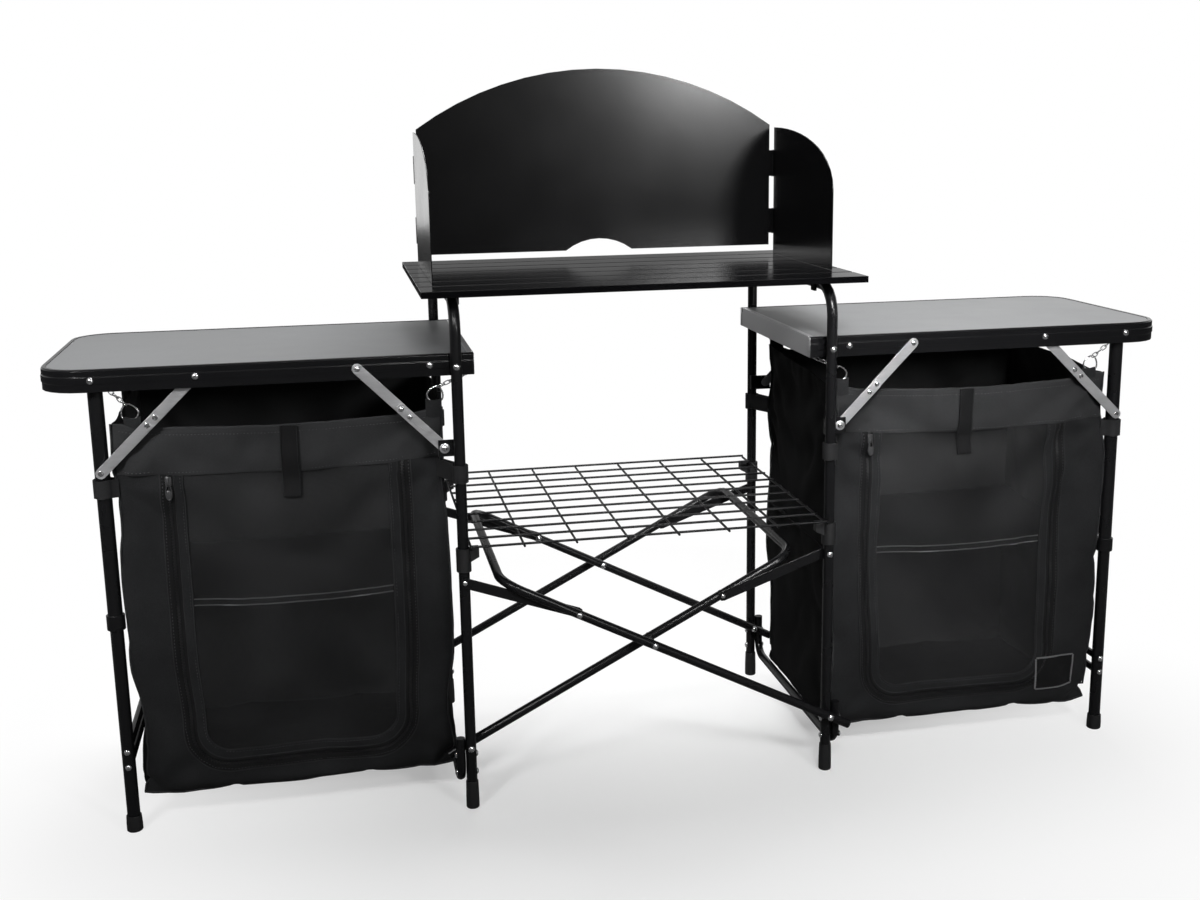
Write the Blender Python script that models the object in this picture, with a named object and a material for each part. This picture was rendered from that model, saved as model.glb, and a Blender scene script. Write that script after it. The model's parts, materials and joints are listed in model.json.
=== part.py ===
"""Folding camp kitchen: a cooking stand on crossed braces, with a table and a cloth cupboard on each side.

Metres, +Z up, feet on z = 0, front towards -Y. The stand's two inverted-U leg frames stand at
x = +-LEG_X. Whatever exists on both sides is built by a function of side: -1 is left, +1 is right.
"""

import math

import bmesh
import bpy
from mathutils import Matrix, Vector

GAP = 0.0003  # clearance between pieces that rest on or run in each other
SIDES = {"left": -1, "right": 1}
ENDS = {"front": -1, "back": 1}

# Half the depth of the side tables, from which everything that stands beside them takes its place.
TABLE_HALF_Y = 0.2130

# Leg frames of the stand: bent tube, one inverted U at each side.
LEG_X = 0.3228
LEG_Y = TABLE_HALF_Y + 0.0227
LEG_R = 0.0093
LEG_BEND = 0.050
TOP_BAR_Z = 0.8845
FOOT_H = 0.050
FOOT_R = 0.0115
FOOT_FLOOR = 0.006

# Base bar along the floor on the outer side of each leg frame.
BASE_R = 0.0080
BASE_X = LEG_X + LEG_R + GAP + BASE_R
BASE_Z = 0.050
BASE_TOP = 0.130
BASE_BEND = 0.030
BASE_RIVETS_Z = (0.067, 0.100)

# Crossed U-shaped braces. One leg of each U runs outside the leg frames, the other inside.
BRACE_R = 0.0080
BRACE_OUT_Y = LEG_Y + 0.0213
BRACE_IN_Y = LEG_Y - 0.0212
BRACE_BEND = 0.040
BRACE_LOW_Z = 0.1110
CROSS_Z = 0.2765
BRACE_SLOPE = (CROSS_Z - BRACE_LOW_Z) / LEG_X
BRACE_TOP_X = 0.2635
BRACE_END_X = 0.359
JOINT_PIN_R = 0.0045

# Flat links from the leg frames to the braces.
LINK_LEG_Z = 0.412
LINK_BRACE_X = 0.132
LINK_BRACE_Z = CROSS_Z + BRACE_SLOPE * LINK_BRACE_X
LINK_W = 0.0180
LINK_T = 0.0029

# Plastic saddles on the legs, and the wire shelf that they carry.
SADDLE_LOW = 0.430
SADDLE_TOP = 0.4700
SADDLE_R = 0.0127
EAR_X = 0.297
EAR_HALF_Y = 0.008
EAR_LOW = 0.455
WIRE_R = 0.0022
SHELF_HALF_X = LEG_X - 0.0118
SHELF_HALF_Y = LEG_Y + 0.0243
SHELF_Z = 0.4740
CROSS_WIRES = 8
LONG_WIRES = 11
WIRE_BITE = 0.0006  # how far the welded wires press into each other

# Slatted top.
TOP_HALF_X = 0.3766
TOP_HALF_Y = LEG_Y + 0.0263
TOP_UNDER = TOP_BAR_Z + LEG_R + GAP
TOP_Z = TOP_UNDER + 0.0110
SLATS = 7
GROOVE_HALF = 0.0025
GROOVE_DEPTH = 0.0060
SLAT_CHAMFER = 0.0012
CLIP_Y = 0.170
CLIP_HALF_Y = 0.010
CLIP_T = 0.004
CLIP_DROP = 0.021

# Windscreen: a back panel with a round top, and two folding wings.
SCREEN_T = 0.0016
SCREEN_Y = 0.1980
SCREEN_IN = 0.0326  # how far the windscreen ends inside the slatted top's ends
SCREEN_HALF_X = TOP_HALF_X - SCREEN_IN
SCREEN_LOW = 0.9226
SCREEN_SHOULDER = 1.1560
SCREEN_TOP = 1.2644
NOTCH_HALF_X = 0.0650
NOTCH_H = 0.0220
WING_X = SCREEN_HALF_X + 0.0060
WING_FRONT_Y = -0.1536
WING_LOW = TOP_Z + GAP
WING_TOP = 1.1510
WING_FRONT_TOP = 1.0450
WING_HANDLES = ((0.020, 1.151), (-0.149, 1.118))
HINGE_X = SCREEN_HALF_X + 0.0055
HINGE_Y = SCREEN_Y - 0.0065
HINGE_R = 0.0022
WING_BACK_Y = HINGE_Y - 0.0065
HINGE_SPANS = ((0.946, 0.994), (1.057, 1.107))

# Side tables, which turn on the leg frames.
PIVOT_Z = 0.7790
TABLE_END_X = 0.9780
TABLE_INNER_X = 0.2915
TABLE_CORNER = 0.070
RIM_LOW = 0.7605
RIM_TOP = 0.7970
RIM_WALL = 0.0094
RIB_OUT = 0.0012
RIB_LOW = 0.7725
RIB_TOP = 0.7855
LEDGE_IN = 0.0120
LEDGE_LOW = 0.7892
PANEL_LOW = 0.7915
PANEL_TOP = 0.7963
RAIL_T = 0.0094
RIM_RIVETS = (0.041, 0.412, 0.571)

# Telescoping outer legs.
OUTER_X = 0.8920
OUTER_Y = TABLE_HALF_Y - 0.0270
UPPER_R = 0.0120
UPPER_BORE = 0.0112
UPPER_LOW = 0.360
BORE_TOP = 0.690
COLLAR_R = 0.0150
COLLAR_TOP = 0.385
LOWER_R = 0.0108
LOWER_TOP = 0.470
OUTER_FOOT_H = 0.028
OUTER_FOOT_R = 0.0135
CROSSBAR_R = 0.0070
CROSSBARS_Z = (0.1175, 0.1450)

# Folding struts: two flat bars each, lapped at a knuckle.
STRUT_HALF_W = 0.0087
INNER_STRUT_TOP = 0.159  # from the table's pivot, along the table
INNER_STRUT_FOOT = (LEG_X + 0.023, 0.640)
INNER_UPPER_LANE = (TABLE_HALF_Y + 0.0004, TABLE_HALF_Y + 0.0024)
INNER_LOWER_LANE = (TABLE_HALF_Y + 0.0028, TABLE_HALF_Y + 0.0048)
OUTER_STRUT_TOP = 0.412
OUTER_STRUT_FOOT = (OUTER_X, 0.626)
OUTER_UPPER_LANE = (TABLE_HALF_Y - 0.0120, TABLE_HALF_Y - 0.0098)
OUTER_LOWER_LANE = (TABLE_HALF_Y - 0.0146, TABLE_HALF_Y - 0.0124)
BRACKET_LANE = (TABLE_HALF_Y + 0.0052, TABLE_HALF_Y + 0.0082)
RIVET_R = 0.0052
RIVET_H = 0.0018

# Cloth cupboards hanging between the legs.
BAG_INNER_X = 0.3455
BAG_OUTER_X = 0.8720
BAG_HALF_Y = OUTER_Y + 0.0040
BAG_LOW = 0.0620
BAG_TOP = 0.7000
BAG_WALL = 0.0030
LOOP_T = 0.0020
OUTER_LOOP_Z = (0.575, 0.605)
CENTRE_LOOP_Z = (0.592, 0.620)
HANGER_HALF_W = 0.0070
HANGER_IN = 0.0120


def clear_scene():
    for obj in list(bpy.data.objects):
        bpy.data.objects.remove(obj, do_unlink=True)


def paint(name, colour, roughness, metallic):
    material = bpy.data.materials.new(name)
    material.use_nodes = True
    shader = material.node_tree.nodes["Principled BSDF"]
    shader.inputs["Base Color"].default_value = (*colour, 1.0)
    shader.inputs["Roughness"].default_value = roughness
    shader.inputs["Metallic"].default_value = metallic
    return material


def shell(bm):
    """A closed mesh from bm, with its faces turned outwards."""
    bmesh.ops.recalc_face_normals(bm, faces=bm.faces)
    mesh = bpy.data.meshes.new("shell")
    bm.to_mesh(mesh)
    bm.free()
    return mesh


def prism(outline, axis, low, high):
    """The outline's two coordinates are the two axes other than the given one, in the order X, Y, Z."""
    others = [i for i in range(3) if i != axis]
    bm = bmesh.new()
    verts = []
    for a, b in outline:
        point = Vector((low, low, low))
        point[others[0]] = a
        point[others[1]] = b
        verts.append(bm.verts.new(point))
    face = bm.faces.new(verts)
    grown = bmesh.ops.extrude_face_region(bm, geom=[face])
    move = Vector((0, 0, 0))
    move[axis] = high - low
    top = [v for v in grown["geom"] if isinstance(v, bmesh.types.BMVert)]
    bmesh.ops.translate(bm, vec=move, verts=top)
    return shell(bm)


def block(low, high):
    outline = ((low[0], low[1]), (high[0], low[1]), (high[0], high[1]), (low[0], high[1]))
    return prism(outline, 2, low[2], high[2])


def turned(profile, sides, matrix=None):
    """(radius, height) points that start and end on the axis, or close on themselves, spun about Z."""
    bm = bmesh.new()
    verts = [bm.verts.new((radius, 0, height)) for radius, height in profile]
    edges = [bm.edges.new(pair) for pair in zip(verts, verts[1:])]
    if profile[0][0] > 0:
        edges.append(bm.edges.new((verts[-1], verts[0])))
    bmesh.ops.spin(
        bm,
        geom=verts + edges,
        axis=(0, 0, 1),
        cent=(0, 0, 0),
        angle=2 * math.pi,
        steps=sides,
        use_merge=True,
    )
    bmesh.ops.remove_doubles(bm, verts=bm.verts, dist=1e-6)
    if matrix is not None:
        bmesh.ops.transform(bm, matrix=matrix, verts=bm.verts)
    return shell(bm)


def ring(inner, outer, low, high, sides, x, y):
    profile = ((inner, low), (outer, low), (outer, high), (inner, high))
    return turned(profile, sides, Matrix.Translation((x, y, 0)))


def along(start, end):
    """The matrix that puts the Z axis on the line from start to end."""
    start = Vector(start)
    direction = Vector(end) - start
    return Matrix.Translation(start) @ direction.to_track_quat("Z", "Y").to_matrix().to_4x4()


def pin(start, end, radius, sides=10):
    length = (Vector(end) - Vector(start)).length
    profile = ((0, 0), (radius, 0), (radius, length), (0, length))
    return turned(profile, sides, along(start, end))


def rivet(face, outwards, height=RIVET_H, bite=0.003):
    """A low domed head on a surface point, rooted in the piece below it."""
    face = Vector(face)
    outwards = Vector(outwards)
    profile = (
        (0, 0),
        (RIVET_R, 0),
        (RIVET_R, bite + height * 0.5),
        (RIVET_R * 0.62, bite + height),
        (0, bite + height),
    )
    return turned(profile, 8, along(face - outwards * bite, face + outwards * height))


def rounded(corners, radius, steps=5):
    """A polyline through the corners, with an arc in place of each inner corner."""
    corners = [Vector(c) for c in corners]
    path = [corners[0]]
    for before, corner, after in zip(corners, corners[1:], corners[2:]):
        into = (before - corner).normalized()
        out = (after - corner).normalized()
        half = into.angle(out) / 2
        reach = radius / math.tan(half)
        centre = corner + (into + out).normalized() * (radius / math.sin(half))
        first = corner + into * reach - centre
        last = corner + out * reach - centre
        turn = first.angle(last)
        axis = first.cross(last).normalized()
        for i in range(steps + 1):
            path.append(centre + Matrix.Rotation(turn * i / steps, 3, axis) @ first)
    path.append(corners[-1])
    return path


def tube(path, radius, resolution=5):
    """A curve with a round bevel and filled ends, as a mesh. It has 4 + 2 * resolution sides."""
    curve = bpy.data.curves.new("tube", "CURVE")
    curve.dimensions = "3D"
    curve.bevel_depth = radius
    curve.bevel_resolution = resolution
    curve.use_fill_caps = True
    spline = curve.splines.new("POLY")
    spline.points.add(len(path) - 1)
    for point, place in zip(spline.points, path):
        point.co = (*place, 1)
    obj = bpy.data.objects.new("tube", curve)
    bpy.context.scene.collection.objects.link(obj)
    graph = bpy.context.evaluated_depsgraph_get()
    bm = bmesh.new()
    bm.from_mesh(bpy.data.meshes.new_from_object(obj.evaluated_get(graph), depsgraph=graph))
    bmesh.ops.remove_doubles(bm, verts=bm.verts, dist=1e-6)
    bpy.data.objects.remove(obj, do_unlink=True)
    return shell(bm)


def joined(shells):
    """Several closed shells that don't touch each other, in one mesh."""
    bm = bmesh.new()
    for mesh in shells:
        bm.from_mesh(mesh)
    mesh = bpy.data.meshes.new("joined")
    bm.to_mesh(mesh)
    bm.free()
    return mesh


def fused(base, *groups):
    """The Boolean union of the base shells with each group of shells in turn."""
    body = bpy.data.objects.new("body", joined(base))
    bpy.context.scene.collection.objects.link(body)
    for group in groups:
        tool = bpy.data.objects.new("tool", joined(group))
        tool.hide_render = True
        tool.display_type = "WIRE"
        bpy.context.scene.collection.objects.link(tool)
        modifier = body.modifiers.new("union", "BOOLEAN")
        modifier.operation = "UNION"
        modifier.solver = "EXACT"
        modifier.object = tool
        bpy.context.view_layer.update()
        graph = bpy.context.evaluated_depsgraph_get()
        mesh = bpy.data.meshes.new_from_object(body.evaluated_get(graph), depsgraph=graph)
        body.modifiers.clear()
        body.data = mesh
        bpy.data.objects.remove(tool, do_unlink=True)
    mesh = body.data
    bpy.data.objects.remove(body, do_unlink=True)
    return mesh


def node(name, mesh, material, origin=(0, 0, 0), parent=None, smooth=True):
    """Adds the piece with its origin on its joint's axis, shaded smooth where its faces meet gently."""
    mesh.name = name
    mesh.transform(Matrix.Translation(-Vector(origin)))
    mesh.materials.clear()
    mesh.materials.append(material)
    for polygon in mesh.polygons:
        polygon.material_index = 0
        polygon.use_smooth = smooth
    if smooth:
        mesh.set_sharp_from_angle(angle=math.radians(35))
    obj = bpy.data.objects.new(name, mesh)
    bpy.context.scene.collection.objects.link(obj)
    obj.location = Vector(origin) - (parent.location if parent else Vector((0, 0, 0)))
    obj.parent = parent
    return obj


def empty(name, place):
    obj = bpy.data.objects.new(name, None)
    obj.empty_display_size = 0.05
    obj.location = place
    bpy.context.scene.collection.objects.link(obj)
    return obj


def outside(side, end):
    """Whether the brace and the link at this leg run on the outer side of the leg frames."""
    return side * end > 0


def brace_y(side, end):
    """The brace leg that turns on the low pivot of this leg. Each brace turns on the far side's legs."""
    return end * (BRACE_IN_Y if outside(side, end) else BRACE_OUT_Y)


def link_y(side, end):
    """The middle of the lane between this leg and the brace leg that its link holds."""
    if side * end > 0:
        return end * (LEG_Y + LEG_R + BRACE_OUT_Y - BRACE_R) / 2
    return end * (LEG_Y - LEG_R + BRACE_IN_Y + BRACE_R) / 2


def leg_frame(name, side, material):
    x = side * LEG_X
    foot = FOOT_FLOOR + GAP
    corners = ((x, -LEG_Y, foot), (x, -LEG_Y, TOP_BAR_Z), (x, LEG_Y, TOP_BAR_Z), (x, LEG_Y, foot))
    base = tube(rounded(corners, LEG_BEND), LEG_R)
    across = []
    lugs = []
    lug_heads = []
    inwards = []
    foot_x, foot_z = INNER_STRUT_FOOT
    for end in ENDS.values():
        out = (0, end, 0)
        face = end * (LEG_Y + LEG_R)
        across.append(rivet((x, face, PIVOT_Z), out))
        across.append(pin((x, end * LEG_Y, PIVOT_Z), (x, end * (TABLE_HALF_Y + GAP), PIVOT_Z), JOINT_PIN_R))
        near = brace_y(side, end)
        reach = abs(near) - math.copysign(BRACE_R + GAP, abs(near) - LEG_Y)
        across.append(pin((x, end * LEG_Y, BRACE_LOW_Z), (x, end * reach, BRACE_LOW_Z), JOINT_PIN_R))
        if abs(near) < LEG_Y:
            across.append(rivet((x, face, BRACE_LOW_Z), out, bite=0.004))
        if abs(link_y(side, end)) < LEG_Y:
            across.append(rivet((x, face, LINK_LEG_Z), out))
        lug = (
            (x - side * 0.0068, end * (LEG_Y - 0.0057)),
            (x - side * 0.0068, end * BRACKET_LANE[0]),
            (side * (foot_x + 0.0102), end * BRACKET_LANE[0]),
            (side * (foot_x + 0.0102), end * BRACKET_LANE[1]),
            (x + side * 0.0068, end * BRACKET_LANE[1]),
            (x + side * 0.0068, end * (LEG_Y - 0.0057)),
        )
        lugs.append(prism(lug, 2, foot_z - 0.014, foot_z + 0.014))
        lug_heads.append(rivet((side * foot_x, end * BRACKET_LANE[1], foot_z), out, bite=0.0015))
        for z in BASE_RIVETS_Z:
            inwards.append(rivet((x - side * LEG_R, end * LEG_Y, z), (-side, 0, 0), bite=0.002))
    mesh = fused([base], across, lugs, lug_heads, inwards)
    return node(name, mesh, material, (x, 0, BRACE_LOW_Z))


def foot(name, radius, height, tube_radius, x, y, material, parent):
    """A plastic cap with the tube's end standing in it."""
    bore = tube_radius + GAP
    profile = (
        (0, 0),
        (radius - 0.0015, 0),
        (radius, 0.0015),
        (radius, height * 0.45),
        (radius - 0.0008, height),
        (bore, height),
        (bore, FOOT_FLOOR),
        (0, FOOT_FLOOR),
    )
    obj = node(name, turned(profile, 14), material)
    obj.parent = parent
    obj.location = Vector((x, y, 0)) - parent.location
    return obj


def base_bar(name, side, material, parent):
    x = side * BASE_X
    corners = ((x, -LEG_Y, BASE_TOP), (x, -LEG_Y, BASE_Z), (x, LEG_Y, BASE_Z), (x, LEG_Y, BASE_TOP))
    heads = [
        rivet((side * (BASE_X + BASE_R), end * LEG_Y, z), (side, 0, 0))
        for end in ENDS.values()
        for z in BASE_RIVETS_Z
    ]
    mesh = fused([tube(rounded(corners, BASE_BEND), BASE_R, 4)], heads)
    return node(name, mesh, material, parent.location, parent)


def saddle(name, side, end, material, parent):
    x = side * LEG_X
    y = end * LEG_Y
    clamp = ring(LEG_R + GAP, SADDLE_R, SADDLE_LOW, SADDLE_TOP, 14, x, y)
    near = side * (LEG_X - 0.0110)
    ear_top = SHELF_Z - WIRE_R - GAP
    ear_section = (
        (side * EAR_X, ear_top),
        (near, ear_top),
        (near, EAR_LOW - 0.008),
        (side * EAR_X, EAR_LOW),
    )
    ear = prism(ear_section, 1, y - EAR_HALF_Y, y + EAR_HALF_Y)
    return node(name, fused([clamp], [ear]), material, parent.location, parent)


def brace(name, side, material, parent):
    """The U that leans towards this side. Its low ends turn on the other side's legs."""
    front = brace_y(-side, -1)
    back = brace_y(-side, 1)
    low_x = -side * BRACE_END_X
    top_x = side * BRACE_TOP_X
    top_z = CROSS_Z + BRACE_SLOPE * BRACE_TOP_X
    low_z = CROSS_Z - BRACE_SLOPE * BRACE_END_X
    corners = ((low_x, front, low_z), (top_x, front, top_z), (top_x, back, top_z), (low_x, back, low_z))
    heads = []
    pins = []
    for y in (front, back):
        end = math.copysign(1, y)
        outer = abs(y) > LEG_Y
        out = (0, end, 0) if outer else (0, -end, 0)
        face = y + out[1] * BRACE_R
        stations = ((-side * LEG_X, BRACE_LOW_Z), (side * LINK_BRACE_X, LINK_BRACE_Z), (0, CROSS_Z))
        for x, z in stations:
            heads.append(rivet((x, face, z), out))
        if side > 0:
            other = BRACE_IN_Y if outer else BRACE_OUT_Y
            reach = other + (BRACE_R + GAP) * (1 if outer else -1)
            pins.append(pin((0, y, CROSS_Z), (0, end * reach, CROSS_Z), JOINT_PIN_R))
    groups = [heads, pins] if pins else [heads]
    mesh = fused([tube(rounded(corners, BRACE_BEND), BRACE_R, 4)], *groups)
    return node(name, mesh, material, (0, 0, CROSS_Z), parent)


def bar_outline(start, end, half_width, steps=5):
    """A flat bar with round ends, from pivot to pivot, in the XZ plane."""
    start = Vector(start)
    direction = (Vector(end) - start).normalized()
    across = Vector((-direction.y, direction.x))
    points = []
    for centre, sign in ((Vector(end), 1), (start, -1)):
        for i in range(steps + 1):
            angle = math.pi * i / steps
            reach = across * -math.cos(angle) + direction * math.sin(angle)
            points.append(centre + reach * half_width * sign)
    return [tuple(p) for p in points]


def link(name, side, end, material, parent):
    """A flat link from the leg to the brace, with a rivet head at each end that has room for it."""
    y = link_y(side, end)
    leg = (side * LEG_X, LINK_LEG_Z)
    held = (side * LINK_BRACE_X, LINK_BRACE_Z)
    plate = prism(bar_outline(leg, held, LINK_W / 2), 1, y - LINK_T / 2, y + LINK_T / 2)
    out = (0, end, 0)
    face = y + end * LINK_T / 2
    spot = leg if abs(y) > LEG_Y else held
    mesh = fused([plate], [rivet((spot[0], face, spot[1]), out, bite=0.001)])
    return node(name, mesh, material, (leg[0], 0, leg[1]), parent)


def wire_shelf(name, material, parent):
    long_z = SHELF_Z + 2 * WIRE_R - WIRE_BITE
    cross = []
    for i in range(CROSS_WIRES):
        x = SHELF_HALF_X * (2 * i / (CROSS_WIRES - 1) - 1)
        reach = SHELF_HALF_Y + WIRE_R
        cross.append(pin((x, -reach, SHELF_Z), (x, reach, SHELF_Z), WIRE_R, 6))
    lengthwise = []
    for i in range(LONG_WIRES):
        y = SHELF_HALF_Y * (2 * i / (LONG_WIRES - 1) - 1)
        lengthwise.append(pin((-SHELF_HALF_X, y, long_z), (SHELF_HALF_X, y, long_z), WIRE_R, 6))
    return node(name, fused(cross, lengthwise), material, (0, 0, SHELF_Z), parent)


def slatted_top(name, material, parent):
    pitch = 2 * TOP_HALF_Y / SLATS
    profile = [(-TOP_HALF_Y, TOP_UNDER), (-TOP_HALF_Y, TOP_Z)]
    for i in range(1, SLATS):
        y = -TOP_HALF_Y + pitch * i
        lip = GROOVE_HALF + SLAT_CHAMFER
        profile += [
            (y - lip, TOP_Z),
            (y - GROOVE_HALF, TOP_Z - SLAT_CHAMFER),
            (y - GROOVE_HALF, TOP_Z - GROOVE_DEPTH),
            (y + GROOVE_HALF, TOP_Z - GROOVE_DEPTH),
            (y + GROOVE_HALF, TOP_Z - SLAT_CHAMFER),
            (y + lip, TOP_Z),
        ]
    profile += [(TOP_HALF_Y, TOP_Z), (TOP_HALF_Y, TOP_UNDER)]
    plate = prism(profile, 0, -TOP_HALF_X, TOP_HALF_X)
    clips = []
    near = LEG_X - LEG_R - GAP
    for side in SIDES.values():
        for end in ENDS.values():
            low = min(side * near, side * (near - CLIP_T))
            y = end * CLIP_Y
            clips.append(
                block(
                    (low, y - CLIP_HALF_Y, TOP_UNDER - CLIP_DROP),
                    (low + CLIP_T, y + CLIP_HALF_Y, TOP_UNDER + 0.002),
                )
            )
    return node(name, fused([plate], clips), material, (0, 0, TOP_UNDER), parent)


def arc(half_chord, height, steps):
    """(x, z) points of the arc over a chord on the X axis, from its +X end to its -X end."""
    radius = (half_chord**2 + height**2) / (2 * height)
    spread = math.asin(half_chord / radius)
    points = []
    for i in range(steps + 1):
        angle = spread * (1 - 2 * i / steps)
        points.append((radius * math.sin(angle), radius * math.cos(angle) - radius + height))
    return points


def windscreen_panel(name, material, parent):
    outline = [(-SCREEN_HALF_X, SCREEN_LOW)]
    for x, z in reversed(arc(NOTCH_HALF_X, NOTCH_H, 8)):
        outline.append((x, SCREEN_LOW + z))
    outline.append((SCREEN_HALF_X, SCREEN_LOW))
    for x, z in arc(SCREEN_HALF_X, SCREEN_TOP - SCREEN_SHOULDER, 16):
        outline.append((x, SCREEN_SHOULDER + z))
    sheet = prism(outline, 1, SCREEN_Y - SCREEN_T / 2, SCREEN_Y + SCREEN_T / 2)
    arms = []
    knuckles = []
    for side in SIDES.values():
        arm = (
            (side * (SCREEN_HALF_X - 0.010), SCREEN_Y - SCREEN_T / 2 - 0.0010),
            (side * (SCREEN_HALF_X - 0.001), SCREEN_Y - SCREEN_T / 2 - 0.0010),
            (side * (HINGE_X - 0.0006), HINGE_Y - 0.0005),
            (side * (HINGE_X + 0.0008), HINGE_Y + 0.0006),
            (side * (SCREEN_HALF_X + 0.0005), SCREEN_Y + 0.0002),
            (side * (SCREEN_HALF_X - 0.010), SCREEN_Y + 0.0002),
        )
        for low, high in HINGE_SPANS:
            arms.append(prism(arm, 2, low, high))
            start = (side * HINGE_X, HINGE_Y, low - 0.0006)
            knuckles.append(pin(start, (side * HINGE_X, HINGE_Y, high + 0.0006), HINGE_R, 10))
    return node(name, fused([sheet], arms, knuckles), material, (0, 0, TOP_Z), parent)


def bezier(first, handles, last, steps):
    points = []
    for i in range(steps + 1):
        t = i / steps
        s = 1 - t
        weights = (s**3, 3 * s * s * t, 3 * s * t * t, t**3)
        corners = (first, *handles, last)
        points.append(tuple(sum(w * c[k] for w, c in zip(weights, corners)) for k in (0, 1)))
    return points


def windscreen_wing(name, side, material, parent):
    tab_y = HINGE_Y - HINGE_R - GAP
    outline = [(WING_FRONT_Y, WING_LOW), (WING_BACK_Y, WING_LOW)]
    for low, high in HINGE_SPANS:
        outline += [(WING_BACK_Y, low), (tab_y, low), (tab_y, high), (WING_BACK_Y, high)]
    outline += bezier((WING_BACK_Y, WING_TOP), WING_HANDLES, (WING_FRONT_Y, WING_FRONT_TOP), 12)
    x = side * WING_X
    mesh = prism(outline, 0, x - SCREEN_T / 2, x + SCREEN_T / 2)
    return node(name, mesh, material, (side * HINGE_X, HINGE_Y, WING_LOW), parent)


def table_path(inset, steps=6):
    """The table's outline from its inner front end round to its inner back end, for the right side."""
    points = [(TABLE_INNER_X, -TABLE_HALF_Y + inset)]
    centre_x = TABLE_END_X - TABLE_CORNER
    centre_y = TABLE_HALF_Y - TABLE_CORNER
    radius = TABLE_CORNER - inset
    for end in (-1, 1):
        for i in range(steps + 1):
            angle = math.pi / 2 * (i / steps - (1 if end < 0 else 0))
            points.append((centre_x + radius * math.cos(angle), end * centre_y + radius * math.sin(angle)))
    points.append((TABLE_INNER_X, TABLE_HALF_Y - inset))
    return points


def table_rim(name, side, material, pivot):
    """An extrusion with a middle rib and a ledge for the panel, bent round the table's outer end."""
    section = (
        (RIB_OUT, RIM_LOW),
        (RIB_OUT, RIB_LOW),
        (0, RIB_LOW + 0.0015),
        (0, RIB_TOP - 0.0015),
        (RIB_OUT, RIB_TOP),
        (RIB_OUT, RIM_TOP - 0.0025),
        (0.0035, RIM_TOP),
        (RIM_WALL, RIM_TOP),
        (RIM_WALL, LEDGE_LOW + 0.0020),
        (LEDGE_IN, LEDGE_LOW + 0.0020),
        (LEDGE_IN, LEDGE_LOW),
        (RIM_WALL, LEDGE_LOW),
        (RIM_WALL, RIM_LOW),
    )
    bm = bmesh.new()
    rows = []
    for inset, z in section:
        rows.append([bm.verts.new((side * x, y, z)) for x, y in table_path(inset)])
    for row, above in zip(rows, rows[1:] + rows[:1]):
        for i in range(len(row) - 1):
            bm.faces.new((row[i], row[i + 1], above[i + 1], above[i]))
    bm.faces.new([row[0] for row in rows])
    bm.faces.new([row[-1] for row in reversed(rows)])
    base = shell(bm)
    fixings = []
    for end in ENDS.values():
        for distance in RIM_RIVETS:
            place = (side * (LEG_X + distance), end * TABLE_HALF_Y, PIVOT_Z)
            fixings.append(rivet(place, (0, end, 0), height=0.0015, bite=0.003))
        x = side * OUTER_X
        start = (x, end * (TABLE_HALF_Y - 0.005), PIVOT_Z)
        fixings.append(pin(start, (x, end * (OUTER_Y + UPPER_R + GAP), PIVOT_Z), 0.004))
    # The head over the outer leg shares its spot with the pin inside, so it is cut in apart from it.
    heads = fixings[0:3] + fixings[4:7]
    pins = [fixings[3], fixings[7]]
    return node(name, fused([base], pins, heads), material, pivot)


def table_panel(name, side, material, parent):
    """The laminate sheet, which lies on the rim's ledge."""
    start = TABLE_INNER_X + RAIL_T + GAP * 2
    inset = RIM_WALL + GAP
    outline = [(side * max(x, start), y) for x, y in table_path(inset)]
    return node(name, prism(outline, 2, PANEL_LOW, PANEL_TOP), material, parent.location, parent)


def table_rail(name, side, material, parent):
    """The bare metal rail across the table's inner end, notched for the rim's ledge."""
    wide = TABLE_HALF_Y - RIM_WALL - GAP
    narrow = TABLE_HALF_Y - LEDGE_IN - GAP
    notch = LEDGE_LOW - GAP
    profile = (
        (-wide, RIM_LOW),
        (wide, RIM_LOW),
        (wide, notch),
        (narrow, notch),
        (narrow, RIM_TOP),
        (-narrow, RIM_TOP),
        (-narrow, notch),
        (-wide, notch),
    )
    ends = sorted((side * TABLE_INNER_X, side * (TABLE_INNER_X + RAIL_T)))
    return node(name, prism(profile, 0, *ends), material, parent.location, parent)


def strut_points(side, top, foot_point, split):
    """Top pivot, knuckle and foot pivot of a strut, as (x, z)."""
    start = Vector((side * (LEG_X + top), PIVOT_Z))
    end = Vector((side * foot_point[0], foot_point[1]))
    return start, start.lerp(end, split), end


def strut_bar(name, first, last, lane, end, rivets, origin, material, parent):
    """One flat bar of a strut, with rivet heads on its outer face at the given points."""
    low, high = sorted((end * lane[0], end * lane[1]))
    plate = prism(bar_outline(first, last, STRUT_HALF_W), 1, low, high)
    face = end * lane[1]
    heads = [rivet((x, face, z), (0, end, 0), height=0.0012, bite=0.0012) for x, z in rivets]
    mesh = fused([plate], heads) if heads else plate
    return node(name, mesh, material, (origin[0], 0, origin[1]), parent)


def outer_strut_split():
    """The longer bar's share, so that both bars lie along the leg once it is folded."""
    top = OUTER_X - (LEG_X + OUTER_STRUT_TOP)
    down = PIVOT_Z - OUTER_STRUT_FOOT[1]
    return (1 + (top - down) / math.hypot(top, down)) / 2


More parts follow.
